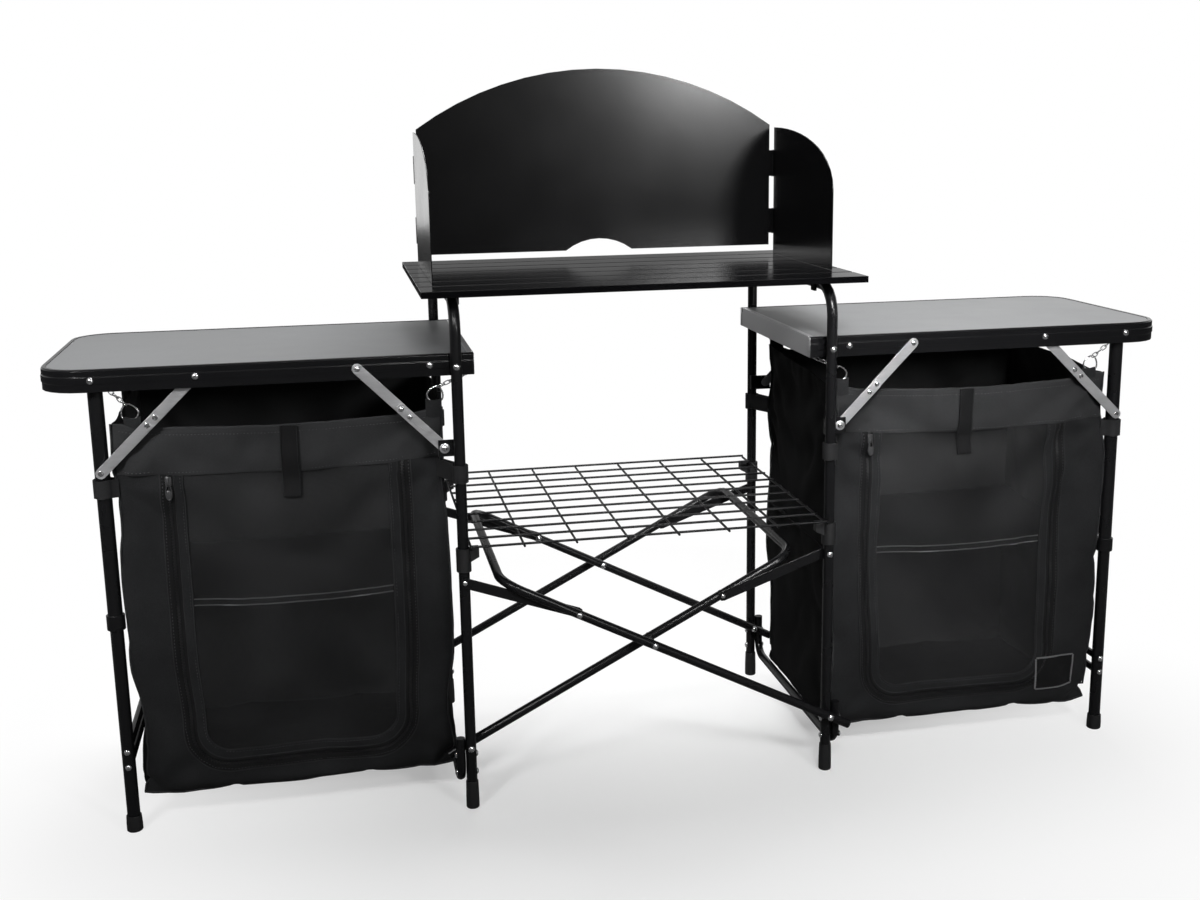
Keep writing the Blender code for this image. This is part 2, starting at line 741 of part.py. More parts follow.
def struts(label, side, material, table_pivot, frame, leg_pivot):
    for end_label, end in ENDS.items():
        tag = f"{label}_{end_label}"
        top, knuckle, low = strut_points(side, INNER_STRUT_TOP, INNER_STRUT_FOOT, 0.5)
        second = knuckle.lerp(low, 0.20)
        upper = f"{tag}_inner_strut_upper"
        strut_bar(upper, top, knuckle, INNER_UPPER_LANE, end, [top], top, material, table_pivot)
        strut_bar(
            f"{tag}_inner_strut_lower",
            knuckle,
            low,
            INNER_LOWER_LANE,
            end,
            [knuckle, second],
            low,
            material,
            frame,
        )
        top, knuckle, low = strut_points(side, OUTER_STRUT_TOP, OUTER_STRUT_FOOT, outer_strut_split())
        upper = f"{tag}_outer_strut_upper"
        strut_bar(upper, top, knuckle, OUTER_UPPER_LANE, end, [], top, material, table_pivot)
        lower = f"{tag}_outer_strut_lower"
        strut_bar(lower, knuckle, low, OUTER_LOWER_LANE, end, [], low, material, leg_pivot)


def outer_leg(name, side, end, material, parent):
    """The upper tube, bored for the lower one, with its collar and a round end that clears the panel."""
    profile = (
        (0, BORE_TOP),
        (UPPER_BORE, BORE_TOP),
        (UPPER_BORE, UPPER_LOW),
        (COLLAR_R, UPPER_LOW),
        (COLLAR_R, COLLAR_TOP),
        (UPPER_R, COLLAR_TOP),
        (UPPER_R, PIVOT_Z),
        (UPPER_R * 0.87, PIVOT_Z + UPPER_R * 0.45),
        (UPPER_R * 0.56, PIVOT_Z + UPPER_R * 0.79),
        (0, PIVOT_Z + UPPER_R * 0.97),
    )
    mesh = turned(profile, 14, Matrix.Translation((side * OUTER_X, end * OUTER_Y, 0)))
    return node(name, mesh, material, parent.location, parent)


def leg_extension(name, side, material, parent):
    """Both lower tubes with the two bars between them."""
    x = side * OUTER_X
    tubes = [
        pin((x, end * OUTER_Y, FOOT_FLOOR + GAP), (x, end * OUTER_Y, LOWER_TOP), LOWER_R, 14)
        for end in ENDS.values()
    ]
    bars = [pin((x, -OUTER_Y, z), (x, OUTER_Y, z), CROSSBAR_R) for z in CROSSBARS_Z]
    return node(name, fused(tubes, bars), material, parent.location, parent)


def open_box(low, high, wall):
    """A box with walls and a floor, open at the top."""
    bm = bmesh.new()
    size = Vector(high) - Vector(low)
    middle = (Vector(high) + Vector(low)) / 2
    bmesh.ops.create_cube(bm, size=1, matrix=Matrix.Translation(middle) @ Matrix.Diagonal((*size, 1)))
    top = max(bm.faces, key=lambda face: face.calc_center_median().z)
    bmesh.ops.inset_region(bm, faces=[top], thickness=wall, use_even_offset=True)
    grown = bmesh.ops.extrude_face_region(bm, geom=[top])
    verts = [v for v in grown["geom"] if isinstance(v, bmesh.types.BMVert)]
    bmesh.ops.translate(bm, vec=(0, 0, wall - size.z), verts=verts)
    bmesh.ops.delete(bm, geom=[top], context="FACES")
    return shell(bm)


def strap(start, end, thickness, low, high):
    """A flat strap standing on edge, from start to end in plan."""
    start = Vector(start)
    end = Vector(end)
    direction = (end - start).normalized()
    across = Vector((-direction.y, direction.x)) * thickness / 2
    outline = [tuple(p) for p in (start - across, end - across, end + across, start + across)]
    return prism(outline, 2, low, high)


def bag(name, side, material, parent):
    """The cupboard: a sewn open box, with strap loops round the legs and hangers to the table."""
    low_x, high_x = sorted((side * BAG_INNER_X, side * BAG_OUTER_X))
    body = open_box((low_x, -BAG_HALF_Y, BAG_LOW), (high_x, BAG_HALF_Y, BAG_TOP), BAG_WALL)
    straps = []
    loops = []
    hangers = []
    outer_bore = UPPER_R + GAP
    centre_bore = LEG_R + GAP
    for end in ENDS.values():
        x = side * OUTER_X
        y = end * OUTER_Y
        loops.append(ring(outer_bore, outer_bore + LOOP_T, *OUTER_LOOP_Z, 14, x, y))
        start = (side * (BAG_OUTER_X - BAG_WALL / 2), y)
        straps.append(strap(start, (side * (OUTER_X - outer_bore - LOOP_T / 2), y), LOOP_T, *OUTER_LOOP_Z))
        x = side * LEG_X
        y = end * LEG_Y
        loops.append(ring(centre_bore, centre_bore + LOOP_T, *CENTRE_LOOP_Z, 14, x, y))
        start = Vector((side * (BAG_INNER_X + BAG_WALL / 2), end * (BAG_HALF_Y - BAG_WALL / 2)))
        away = (Vector((x, y)) - start).normalized()
        reach = Vector((x, y)) - away * (centre_bore + LOOP_T / 2)
        straps.append(strap(start, reach, LOOP_T, CENTRE_LOOP_Z[0] + 0.0005, CENTRE_LOOP_Z[1] - 0.0005))
        for x in (BAG_INNER_X + HANGER_IN, BAG_OUTER_X - HANGER_IN):
            wall = sorted((end * (BAG_HALF_Y - 0.0005), end * (BAG_HALF_Y - BAG_WALL + 0.0005)))
            hangers.append(
                block(
                    (side * x - HANGER_HALF_W, wall[0], BAG_TOP - 0.020),
                    (side * x + HANGER_HALF_W, wall[1], PANEL_LOW - GAP),
                )
            )
    mesh = fused([body], straps, loops, hangers)
    return node(name, mesh, material, parent.location, parent)


def build():
    clear_scene()
    black_steel = paint("black_painted_steel", (0.012, 0.012, 0.013), 0.32, 0.0)
    bare_metal = paint("grey_metal", (0.56, 0.56, 0.57), 0.35, 0.9)
    black_rim = paint("black_rim", (0.010, 0.010, 0.011), 0.25, 0.0)
    laminate = paint("grey_laminate", (0.36, 0.37, 0.38), 0.35, 0.0)
    plastic = paint("black_plastic", (0.015, 0.015, 0.016), 0.45, 0.0)
    screen = paint("black_sheet", (0.008, 0.008, 0.009), 0.28, 0.0)
    cloth = paint("charcoal_cloth", (0.030, 0.031, 0.034), 0.85, 0.0)

    frames = {}
    for label, side in SIDES.items():
        frame = leg_frame(f"{label}_leg_frame", side, black_steel)
        frames[label] = frame
        base_bar(f"{label}_base_bar", side, black_steel, frame)
        for end_label, end in ENDS.items():
            place = (side * LEG_X, end * LEG_Y)
            foot(f"{label}_{end_label}_foot", FOOT_R, FOOT_H, LEG_R, *place, plastic, frame)
            saddle(f"{label}_{end_label}_saddle", side, end, plastic, frame)
            link(f"{label}_{end_label}_link", side, end, black_steel, frame)

    crossing = empty("crossing", (0, 0, CROSS_Z))
    brace("brace_leaning_left", -1, black_steel, crossing)
    brace("brace_leaning_right", 1, black_steel, crossing)
    wire_shelf("wire_shelf", black_steel, frames["left"])

    top = slatted_top("slatted_top", black_rim, None)
    panel = windscreen_panel("windscreen_panel", screen, None)
    panel.parent = top
    panel.location = panel.location - top.location
    for label, side in SIDES.items():
        wing = windscreen_wing(f"windscreen_{label}_wing", side, screen, None)
        wing.parent = panel
        wing.location = wing.location - top.location - panel.location

    for label, side in SIDES.items():
        table_pivot = empty(f"{label}_table_pivot", (side * LEG_X, 0, PIVOT_Z))
        leg_pivot = empty(f"{label}_outer_leg_pivot", (side * OUTER_X, 0, PIVOT_Z))
        rim = table_rim(f"{label}_table_rim", side, black_rim, table_pivot.location)
        rim.parent = table_pivot
        rim.location = (0, 0, 0)
        table_panel(f"{label}_table_panel", side, laminate, table_pivot)
        table_rail(f"{label}_table_rail", side, bare_metal, table_pivot)
        bag(f"{label}_bag", side, cloth, table_pivot)
        for end_label, end in ENDS.items():
            outer_leg(f"{label}_{end_label}_outer_leg", side, end, black_steel, leg_pivot)
            place = (side * OUTER_X, end * OUTER_Y)
            foot(
                f"{label}_{end_label}_outer_foot",
                OUTER_FOOT_R,
                OUTER_FOOT_H,
                LOWER_R,
                *place,
                plastic,
                leg_pivot,
            )
        leg_extension(f"{label}_leg_extension", side, black_steel, leg_pivot)
        struts(label, side, bare_metal, table_pivot, frames[label], leg_pivot)
    bpy.context.view_layer.update()


build()
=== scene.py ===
"""Looks of the folding camp kitchen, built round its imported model.

Metres, +Z up, front towards -Y. Whatever exists on both sides is made by a function of side:
-1 is left, +1 is right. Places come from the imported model's nodes and joints where it has them.
"""

import json
import math

import bmesh
import bpy
from mathutils import Matrix, Vector, noise

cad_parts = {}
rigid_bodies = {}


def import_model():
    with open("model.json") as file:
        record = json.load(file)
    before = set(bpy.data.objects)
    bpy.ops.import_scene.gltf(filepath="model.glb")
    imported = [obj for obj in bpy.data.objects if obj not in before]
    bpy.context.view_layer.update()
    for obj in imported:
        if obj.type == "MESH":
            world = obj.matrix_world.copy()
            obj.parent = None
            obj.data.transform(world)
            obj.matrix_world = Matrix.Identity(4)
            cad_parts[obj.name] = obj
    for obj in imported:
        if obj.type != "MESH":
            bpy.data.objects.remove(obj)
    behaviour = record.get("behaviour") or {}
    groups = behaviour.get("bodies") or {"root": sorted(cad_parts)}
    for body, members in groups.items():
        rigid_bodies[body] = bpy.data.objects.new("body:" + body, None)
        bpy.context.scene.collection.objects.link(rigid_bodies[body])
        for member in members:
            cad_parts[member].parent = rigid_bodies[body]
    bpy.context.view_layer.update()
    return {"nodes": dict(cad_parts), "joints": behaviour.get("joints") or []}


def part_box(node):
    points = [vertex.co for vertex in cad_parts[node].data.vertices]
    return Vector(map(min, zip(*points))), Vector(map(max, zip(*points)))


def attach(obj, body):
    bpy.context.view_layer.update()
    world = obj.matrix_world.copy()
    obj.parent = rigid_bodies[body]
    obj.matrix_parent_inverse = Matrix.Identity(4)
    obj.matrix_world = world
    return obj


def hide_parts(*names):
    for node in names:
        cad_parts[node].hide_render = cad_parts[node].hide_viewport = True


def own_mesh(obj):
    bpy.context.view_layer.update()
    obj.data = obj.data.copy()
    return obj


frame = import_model()

SIDES = {"left": -1, "right": 1}
ENDS = (-1, 1)  # front and back
NODES = frame["nodes"]
JOINTS = {joint["name"]: Vector(joint.get("pos_m", (0, 0, 0))) for joint in frame["joints"]}
MATERIALS = {}
FLOOR_GAP = 0.0005

# Camera, fitted to the photograph's 1200 x 900 frame.
CAMERA_PLACE = Vector((-0.5221, -2.5466, 1.1687))
CAMERA_YAW = -0.2067
CAMERA_PITCH = -0.2130
CAMERA_ROLL = -0.0129
CAMERA_LENS = 42.895
CAMERA_SHIFT = (-0.0235, -0.0174)

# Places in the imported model. A face is how far a bar's outer face stands from the middle, in y.
LEG_X = JOINTS["right_table_fold"].x
PIVOT_Z = JOINTS["right_table_fold"].z
BRACE_PIVOT_Z = JOINTS["brace_swing"].z
CROSS_Z = JOINTS["frame_fold"].z
LINK_LEG_Z = JOINTS["right_link_swing"].z
OUTER_X = JOINTS["right_outer_leg_fold"].x
LEG_Y = 0.2357
LEG_R = 0.0093
BRACE_R = 0.0080
BRACE_OUT_Y = 0.2570
BRACE_IN_Y = 0.2145
LINK_BRACE_X = 0.132
LINK_BRACE_Z = CROSS_Z + (CROSS_Z - BRACE_PIVOT_Z) / LEG_X * LINK_BRACE_X
LINK_OUT_FACE = 0.24845
LINK_IN_FACE = 0.2259
BASE_INNER_X = LEG_X - LEG_R
BASE_OUTER_X = 0.3484
BASE_RIVETS_Z = (0.067, 0.100)
TABLE_Y = 0.2130
RIM_RIVETS = (0.041, 0.412, 0.571)  # from the leg frame's middle
RIM_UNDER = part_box("right_table_rim")[0].z
RIM_WALL = (0.2038, 0.2128)
OUTER_Y = 0.1860
OUTER_R = 0.0120
CROSSBARS_Z = (0.1175, 0.1450)
CROSSBAR_FACE = OUTER_Y + 0.0106
UPPER_STRUT_FACE = 0.2154
LOWER_STRUT_FACE = 0.2178
BRACKET_FACE = 0.2212
OUTER_STRUT_FACE = 0.2032
OUTER_BRACKET_FACE = 0.2006

# Eased edges of the model's nodes, and of thin sheet and bars.
EASE = 0.0006
THIN_EASE = 0.0003

# Rivet heads and washers, as (radius, height) points.
DOME = ((0.0, 0.0030), (0.0022, 0.0028), (0.0042, 0.0020), (0.0056, 0.0008))
RIVET_CAP = (*DOME, (0.0059, -0.0004), (0.0, -0.0004))
WASHER = ((0.0, 0.0011), (0.0078, 0.0011), (0.0086, 0.0006), (0.0086, -0.0003), (0.0, -0.0003))
RIVET_SIDES = 14
FLUSH = 0.16  # height of heads that another bar or the rim passes as the leg folds

# Cloth cupboards. Their fronts are laid out flat in x and z, and every detail follows the draped cloth.
BAG_INNER_X = 0.3455
BAG_OUTER_X = 0.8720
BAG_HALF_Y = 0.1900
BAG_LOW = 0.0620
BAG_TOP = 0.7000
SIDE_RISE = 0.019
BACK_RISE = 0.011
CORNER_RISE = 0.004
SIDE_BLEND = 0.060
CORNER_BLEND = 0.050
CELLS_X = 42
CELLS_Y = 30
CELLS_Z = 50
HANG_FRAMES = 40
EDGE_HOLD = 0.35  # how firmly the cloth is held along its edges, and over its floor
FLOOR_HOLD = 0.5
CLOTH_T = 0.0016
BULGE = 0.0055
PUCKER = 0.0058
PUCKER_GAP = 0.004  # no folds nearer to the pull than this
SEAM_Z = 0.621
DOOR_IN = {"left": 0.081, "right": 0.068}  # from the bag's left edge to the door's zip
DOOR_OUT = {"left": 0.070, "right": 0.091}
DOOR_LOW = 0.116
DOOR_CORNER = 0.070
BORDER_W = 0.025
SHELF_Z = 0.402
SHELF_SAG = 0.010
STRAP_LOW = 0.584
STRAP_HIGH = 0.614
STRAP_Z = (STRAP_LOW + STRAP_HIGH) / 2
PULLS = ((BAG_TOP, 0.10), (STRAP_Z, 0.13), (BAG_LOW, 0.12))  # heights that pull the cloth, and reach
TOOTH_PITCH = 0.0026
TOOTH_FACES = ((4, 5, 6, 7), (0, 1, 5, 4), (1, 2, 6, 5), (2, 3, 7, 6), (3, 0, 4, 7), (3, 2, 1, 0))
TAB_HALF_W = 0.0130
TAB_LONG = 0.122
PATCH_X = (0.757, 0.843)
PATCH_Z = (0.104, 0.170)
PATCH_INSET = 0.003  # from its edge to the stitches
RING_HALF_W = 0.0165
RING_TALL = 0.027
RING_LEAN = 0.30
HOOKS = ((0.3590, 0.2975, 0.1925), (0.839, 0.868, 0.2045))  # ring's x, and the chain's x and y above


# Small geometry helpers.


def smooth(t):
    """Eases from 0 to 1 with t, and stays level outside them."""
    t = min(max(t, 0.0), 1.0)
    return t * t * (3 - 2 * t)


def bell(x):
    return math.exp(-(x**2))


def turns(count):
    """Evenly spaced angles round a circle."""
    return [2 * math.pi * n / count for n in range(count)]


def line(start, end, count):
    """Flat points from start to end, in so many steps."""
    points = []
    for n in range(count + 1):
        t = n / count
        points.append((start[0] + (end[0] - start[0]) * t, start[1] + (end[1] - start[1]) * t))
    return points


def heading(start, end):
    """The direction of a flat step, and the direction to its left."""
    tangent = Vector((end[0] - start[0], end[1] - start[1])).normalized()
    return tangent, Vector((-tangent.y, tangent.x))


def finished(name, bm):
    """The mesh that bm holds, which is then freed."""
    mesh = bpy.data.meshes.new(name)
    bm.to_mesh(mesh)
    bm.free()
    return mesh


def add_object(name, data):
    obj = bpy.data.objects.new(name, data)
    bpy.context.scene.collection.objects.link(obj)
    return obj


def piece(name, bm, key, body, angle=40):
    """Adds a mesh to the scene, shaded smooth below the given angle, riding on a body."""
    bmesh.ops.recalc_face_normals(bm, faces=bm.faces)
    mesh = finished(name, bm)
    mesh.materials.append(MATERIALS[key])
    for polygon in mesh.polygons:
        polygon.use_smooth = True
    mesh.set_sharp_from_angle(angle=math.radians(angle))
    obj = add_object(name, mesh)
    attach(obj, body)
    return obj


def along(start, direction):
    turn = Vector(direction).to_track_quat("Z", "Y").to_matrix().to_4x4()
    return Matrix.Translation(Vector(start)) @ turn


def axes_at(origin, *axes):
    """The matrix that puts X, Y and Z along three axes, at a point."""
    matrix = Matrix(axes).transposed().to_4x4()
    matrix.translation = origin
    return matrix


def add_part(bm, part, matrix=None):
    """Moves a small mesh into place and adds it to bm."""
    if matrix is not None:
        bmesh.ops.transform(part, matrix=matrix, verts=part.verts)
    mesh = finished("part", part)
    bm.from_mesh(mesh)
    bpy.data.meshes.remove(mesh)


def lathe(bm, profile, matrix, sides=16):
    """Spins (radius, height) points about the matrix's Z axis into bm. The ends lie on the axis."""
    part = bmesh.new()
    verts = [part.verts.new((radius, 0, height)) for radius, height in profile]
    edges = [part.edges.new(pair) for pair in zip(verts, verts[1:])]
    spun = {"axis": (0, 0, 1), "cent": (0, 0, 0), "angle": 2 * math.pi, "steps": sides}
    bmesh.ops.spin(part, geom=verts + edges, use_merge=True, **spun)
    bmesh.ops.remove_doubles(part, verts=part.verts, dist=1e-6)
    add_part(bm, part, matrix)


def skin(bm, rows):
    """Faces between rows of vertices, each a closed loop."""
    for row, after in zip(rows, rows[1:]):
        for i in range(len(row)):
            j = (i + 1) % len(row)
            bm.faces.new((row[i], row[j], after[j], after[i]))


def sweep(bm, stations, closed=False):
    """Joins rows of points, each a closed loop, into a skin. An open one is capped."""
    rows = [[bm.verts.new(point) for point in row] for row in stations]
    if closed:
        skin(bm, rows + rows[:1])
        return
    skin(bm, rows)
    bm.faces.new(rows[0])
    bm.faces.new(list(reversed(rows[-1])))


def wire(bm, path, radius, sides=8, closed=False):
    """A round wire along a path of points."""
    path = [Vector(p) for p in path]
    count = len(path)
    stations = []
    normal = None
    for i, point in enumerate(path):
        if closed:
            tangent = path[(i + 1) % count] - path[i - 1]
        else:
            tangent = path[min(i + 1, count - 1)] - path[max(i - 1, 0)]
        tangent.normalize()
        if normal is None:
            normal = tangent.orthogonal().normalized()
        normal = (normal - tangent * normal.dot(tangent)).normalized()
        other = tangent.cross(normal)
        spokes = [normal * math.cos(a) + other * math.sin(a) for a in turns(sides)]
        stations.append([point + spoke * radius for spoke in spokes])
    sweep(bm, stations, closed)


def block(bm, low, high, matrix=None):
    """A box between two corners, with eased edges."""
    part = bmesh.new()
    size = Vector(high) - Vector(low)
    middle = (Vector(high) + Vector(low)) / 2
    bmesh.ops.create_cube(part, size=1, matrix=Matrix.Translation(middle) @ Matrix.Diagonal((*size, 1)))
    ease = min(size) * 0.3
    bmesh.ops.bevel(part, geom=part.edges[:], offset=ease, segments=2, affect="EDGES", profile=0.5)
    add_part(bm, part, matrix)


# Materials. Every texture is procedural, in the object's own coordinates.


def connect(tree, node, sockets):
    """Gives sockets of a node another node's output or a constant."""
    for socket, value in sockets.items():
        if isinstance(value, bpy.types.NodeSocket):
            tree.links.new(value, node.inputs[socket])
        else:
            node.inputs[socket].default_value = value


def add_node(tree, kind, sockets=None, **settings):
    node = tree.nodes.new(kind)
    for key, value in settings.items():
        setattr(node, key, value)
    connect(tree, node, sockets or {})
    return node


def new_material(name, colour, roughness, metallic=0.0, specular=0.5):
    """A material, its node tree and its shader."""
    material = bpy.data.materials.new(name)
    material.use_nodes = True
    tree = material.node_tree
    shader = tree.nodes["Principled BSDF"]
    shader.inputs["Base Color"].default_value = (*colour, 1)
    shader.inputs["Roughness"].default_value = roughness
    shader.inputs["Metallic"].default_value = metallic
    shader.inputs["Specular IOR Level"].default_value = specular
    return material, tree, shader


def texture(tree, kind, scale, detail, stretch=(1, 1, 1), **settings):
    """A procedural texture's factor."""
    place = add_node(tree, "ShaderNodeTexCoord").outputs["Object"]
    mapping = add_node(tree, "ShaderNodeMapping", {"Vector": place, "Scale": stretch})
    sockets = {"Vector": mapping.outputs["Vector"], "Scale": scale, "Detail": detail}
    node = add_node(tree, kind, sockets, **settings)
    return node.outputs["Fac"] if "Fac" in node.outputs else node.outputs[0]


def speckle(tree, scale, detail=2.0, stretch=(1, 1, 1)):
    return texture(tree, "ShaderNodeTexNoise", scale, detail, stretch)


def ranged(tree, value, low, high, start=0.0, end=1.0, **settings):
    """Maps a value from start and end to low and high."""
    sockets = {"Value": value, "From Min": start, "From Max": end, "To Min": low, "To Max": high}
    return add_node(tree, "ShaderNodeMapRange", sockets, **settings).outputs["Result"]


def combine(tree, operation, *values):
    return add_node(tree, "ShaderNodeMath", dict(enumerate(values)), operation=operation).outputs[0]


def shade(colour, factor):
    return tuple(min(1, c * factor) for c in colour)


def tint(tree, shader, value, dark, light, start=0.0, end=1.0):
    """Colours the surface between two colours as a value goes from start to end."""
    if (start, end) != (0.0, 1.0):
        value = ranged(tree, value, 0.0, 1.0, start, end)
    sockets = {"A": (*dark, 1), "B": (*light, 1), "Factor": value}
    mix = add_node(tree, "ShaderNodeMix", sockets, data_type="RGBA")
    connect(tree, shader, {"Base Color": mix.outputs["Result"]})


def roughen(tree, shader, value, low, high):
    """Varies the roughness over the middle of a texture's range."""
    connect(tree, shader, {"Roughness": ranged(tree, value, low, high, 0.3, 0.7)})


def bump(tree, shader, height, strength, distance):
    sockets = {"Strength": strength, "Distance": distance, "Height": height}
    node = add_node(tree, "ShaderNodeBump", sockets)
    connect(tree, shader, {"Normal": node.outputs["Normal"]})


def painted_metal(name, colour, roughness, grain, specular=0.4):
    """Smooth paint with a faint orange-peel skin and patches that are a little duller."""
    material, tree, shader = new_material(name, colour, roughness, specular=specular)
    patches = speckle(tree, 9.0, 4.0)
    roughen(tree, shader, patches, roughness * 0.94, roughness * 1.08)
    tint(tree, shader, patches, colour, shade(colour, 1.3), 0.35, 0.75)
    bump(tree, shader, speckle(tree, grain), 0.10, 0.0004)
    return material


def brushed_aluminium(name, colour, roughness):
    material, tree, shader = new_material(name, colour, roughness, metallic=0.85)
    streaks = speckle(tree, 60.0, 6.0, (1, 6, 6))
    roughen(tree, shader, streaks, roughness * 0.8, roughness * 1.35)
    tint(tree, shader, streaks, shade(colour, 0.86), shade(colour, 1.1))
    bump(tree, shader, streaks, 0.08, 0.0003)
    return material


def polished_steel(name):
    material, tree, shader = new_material(name, (0.78, 0.78, 0.79), 0.22, metallic=1.0)
    roughen(tree, shader, speckle(tree, 240.0, 3.0), 0.16, 0.32)
    return material


def laminate(name, colour):
    """Printed laminate: fine specks, a soft sheen and a very fine leathery skin."""
    material, tree, shader = new_material(name, colour, 0.36)
    specks = speckle(tree, 420.0, 3.0)
    clouds = speckle(tree, 5.0, 3.0)
    both = combine(tree, "MULTIPLY", specks, clouds)
    tint(tree, shader, both, shade(colour, 0.90), shade(colour, 1.08), 0.12, 0.40)
    roughen(tree, shader, clouds, 0.32, 0.42)
    bump(tree, shader, specks, 0.06, 0.0003)
    return material


def moulded_plastic(name, colour):
    material, tree, shader = new_material(name, colour, 0.5, specular=0.45)
    grain = speckle(tree, 1600.0)
    bump(tree, shader, grain, 0.18, 0.0003)
    tint(tree, shader, grain, shade(colour, 0.85), shade(colour, 1.2))
    return material


def weave_height(tree, scale):
    """Threads that cross on every face: bands along each axis, fading where the face looks that way."""
    facing = add_node(tree, "ShaderNodeTexCoord").outputs["Normal"]
    parts = add_node(tree, "ShaderNodeSeparateXYZ", {"Vector": facing})
    height = None
    for axis in ("X", "Y", "Z"):
        settings = {"wave_type": "BANDS", "bands_direction": axis}
        bands = texture(tree, "ShaderNodeTexWave", scale, 0.0, **settings)
        size = combine(tree, "ABSOLUTE", parts.outputs[axis])
        bands = combine(tree, "MULTIPLY", bands, ranged(tree, size, 1.0, 0.0, 0.5, 0.8))
        height = bands if height is None else combine(tree, "ADD", height, bands)
    return height


def woven_cloth(name, dark, light, scale=240.0, roughness=0.88, sheen=0.02):
    material, tree, shader = new_material(name, dark, roughness, specular=0.10)
    shader.inputs["Sheen Weight"].default_value = sheen
    shader.inputs["Sheen Roughness"].default_value = 0.5
    threads = weave_height(tree, scale)
    tone = combine(tree, "MULTIPLY", speckle(tree, 8.0, 6.0), speckle(tree, 900.0))
    tint(tree, shader, tone, dark, light, 0.12, 0.42)
    bump(tree, shader, ranged(tree, threads, 0.0, 1.0, 0.0, 2.0), 0.35, 0.0005)
    return material


def mesh_cloth(name, colour, scale=170.0):
    """Fine netting: threads with open cells between them."""
    material, tree, shader = new_material(name, colour, 0.8, specular=0.2)
    tint(tree, shader, speckle(tree, 7.0, 5.0), shade(colour, 0.72), shade(colour, 1.30), 0.34, 0.64)
    solid = ranged(tree, weave_height(tree, scale), 0.22, 0.72, 0.5, 1.6)
    clear = add_node(tree, "ShaderNodeBsdfTransparent").outputs["BSDF"]
    sockets = {"Fac": solid, 1: clear, 2: shader.outputs["BSDF"]}
    mix = add_node(tree, "ShaderNodeMixShader", sockets)
    connect(tree, tree.nodes["Material Output"], {"Surface": mix.outputs["Shader"]})
    return material


def make_materials():
    return {
        "steel": painted_metal("black_powder_coat", (0.0055, 0.0055, 0.0060), 0.27, 900.0, specular=0.26),
        "wire": painted_metal("black_wire_coat", (0.0060, 0.0060, 0.0065), 0.34, 900.0, specular=0.25),
        "rim": painted_metal("black_gloss_rim", (0.0050, 0.0050, 0.0055), 0.20, 500.0, specular=0.30),
        "slats": painted_metal("black_gloss_slats", (0.0022, 0.0022, 0.0025), 0.14, 260.0, specular=0.05),
        "sheet": painted_metal("black_windscreen", (0.0020, 0.0020, 0.0022), 0.20, 700.0, specular=0.36),
        "aluminium": brushed_aluminium("bare_aluminium_bars", (0.58, 0.58, 0.59), 0.38),
        "rail": brushed_aluminium("grey_rail", (0.54, 0.54, 0.55), 0.42),
        "bright": polished_steel("bright_rivets"),
        "laminate": laminate("grey_laminate_top", (0.150, 0.153, 0.157)),
        "plastic": moulded_plastic("black_moulding", (0.010, 0.010, 0.0105)),
        "pull": painted_metal("dark_zip_pull", (0.030, 0.030, 0.031), 0.30, 900.0),
        "cloth": woven_cloth("charcoal_weave", (0.0082, 0.0084, 0.0088), (0.0230, 0.0235, 0.0246)),
        # The side walls, the bags' floors and the shelves are the front's own fabric, made darker here as
        # painted shade.
        "side": woven_cloth("painted_shade_weave", (0.0030, 0.0030, 0.0032), (0.0056, 0.0056, 0.0059), sheen=0.003),
        "lining": woven_cloth("coated_lining", (0.032, 0.0323, 0.033), (0.046, 0.0464, 0.0474)),
        "band": woven_cloth("charcoal_band", (0.0190, 0.0193, 0.0200), (0.0320, 0.0325, 0.0336)),
        "webbing": woven_cloth("grey_webbing", (0.014, 0.014, 0.0146), (0.026, 0.026, 0.0268), 150.0, 0.8),
        "tape": woven_cloth("zip_tape", (0.0050, 0.0050, 0.0053), (0.0100, 0.0100, 0.0105), 420.0, 0.7),
        "thread": woven_cloth("grey_thread", (0.050, 0.050, 0.052), (0.080, 0.080, 0.083), 700.0, 0.7),
        "edge": woven_cloth("shelf_cord", (0.130, 0.130, 0.134), (0.180, 0.180, 0.185), 300.0, 0.7),
        "pale": woven_cloth("pale_thread", (0.150, 0.150, 0.153), (0.210, 0.210, 0.214), 700.0, 0.7),
        "mesh": mesh_cloth("charcoal_netting", (0.028, 0.0284, 0.0293)),
    }


# Finishes of the model's own nodes.


def material_key(name):
    for part, key in (
        ("strut", "aluminium"),
        ("table_panel", "laminate"),
        ("table_rail", "rail"),
        ("table_rim", "rim"),
        ("slatted_top", "slats"),
        ("windscreen", "sheet"),
        ("foot", "plastic"),
        ("saddle", "plastic"),
        ("wire_shelf", "wire"),
        ("bag", "cloth"),
    ):
        if part in name:
            return key
    return "steel"


def finish_node(name, obj):
    """Gives a node its material and eases its edges. The shelf's thin wires need no bevel."""
    obj.data.materials.clear()
    obj.data.materials.append(MATERIALS[material_key(name)])
    for polygon in obj.data.polygons:
        polygon.material_index = 0
        polygon.use_smooth = True
    weld = obj.modifiers.new("weld", "WELD")
    weld.merge_threshold = 1e-5
    if name != "wire_shelf":
        thin = "windscreen" in name or "strut" in name
        bevel = obj.modifiers.new("bevel", "BEVEL")
        bevel.width = THIN_EASE if thin else EASE
        bevel.segments = 2
        bevel.limit_method = "ANGLE"
        bevel.angle_limit = math.radians(38)
        bevel.use_clamp_overlap = True
    normals = obj.modifiers.new("normals", "WEIGHTED_NORMAL")
    normals.keep_sharp = False


# Rivet heads and other bare metal.


def rivets(name, places, body, scale=1.0, dome=1.0):
    """Bright domed heads over the model's own, one for each (point on the surface, outward direction)."""
    bm = bmesh.new()
    profile = [(radius * scale, height * scale * dome) for radius, height in RIVET_CAP]
    for point, outwards in places:
        lathe(bm, profile, along(point, outwards), RIVET_SIDES)
    piece(name, bm, "bright", body)


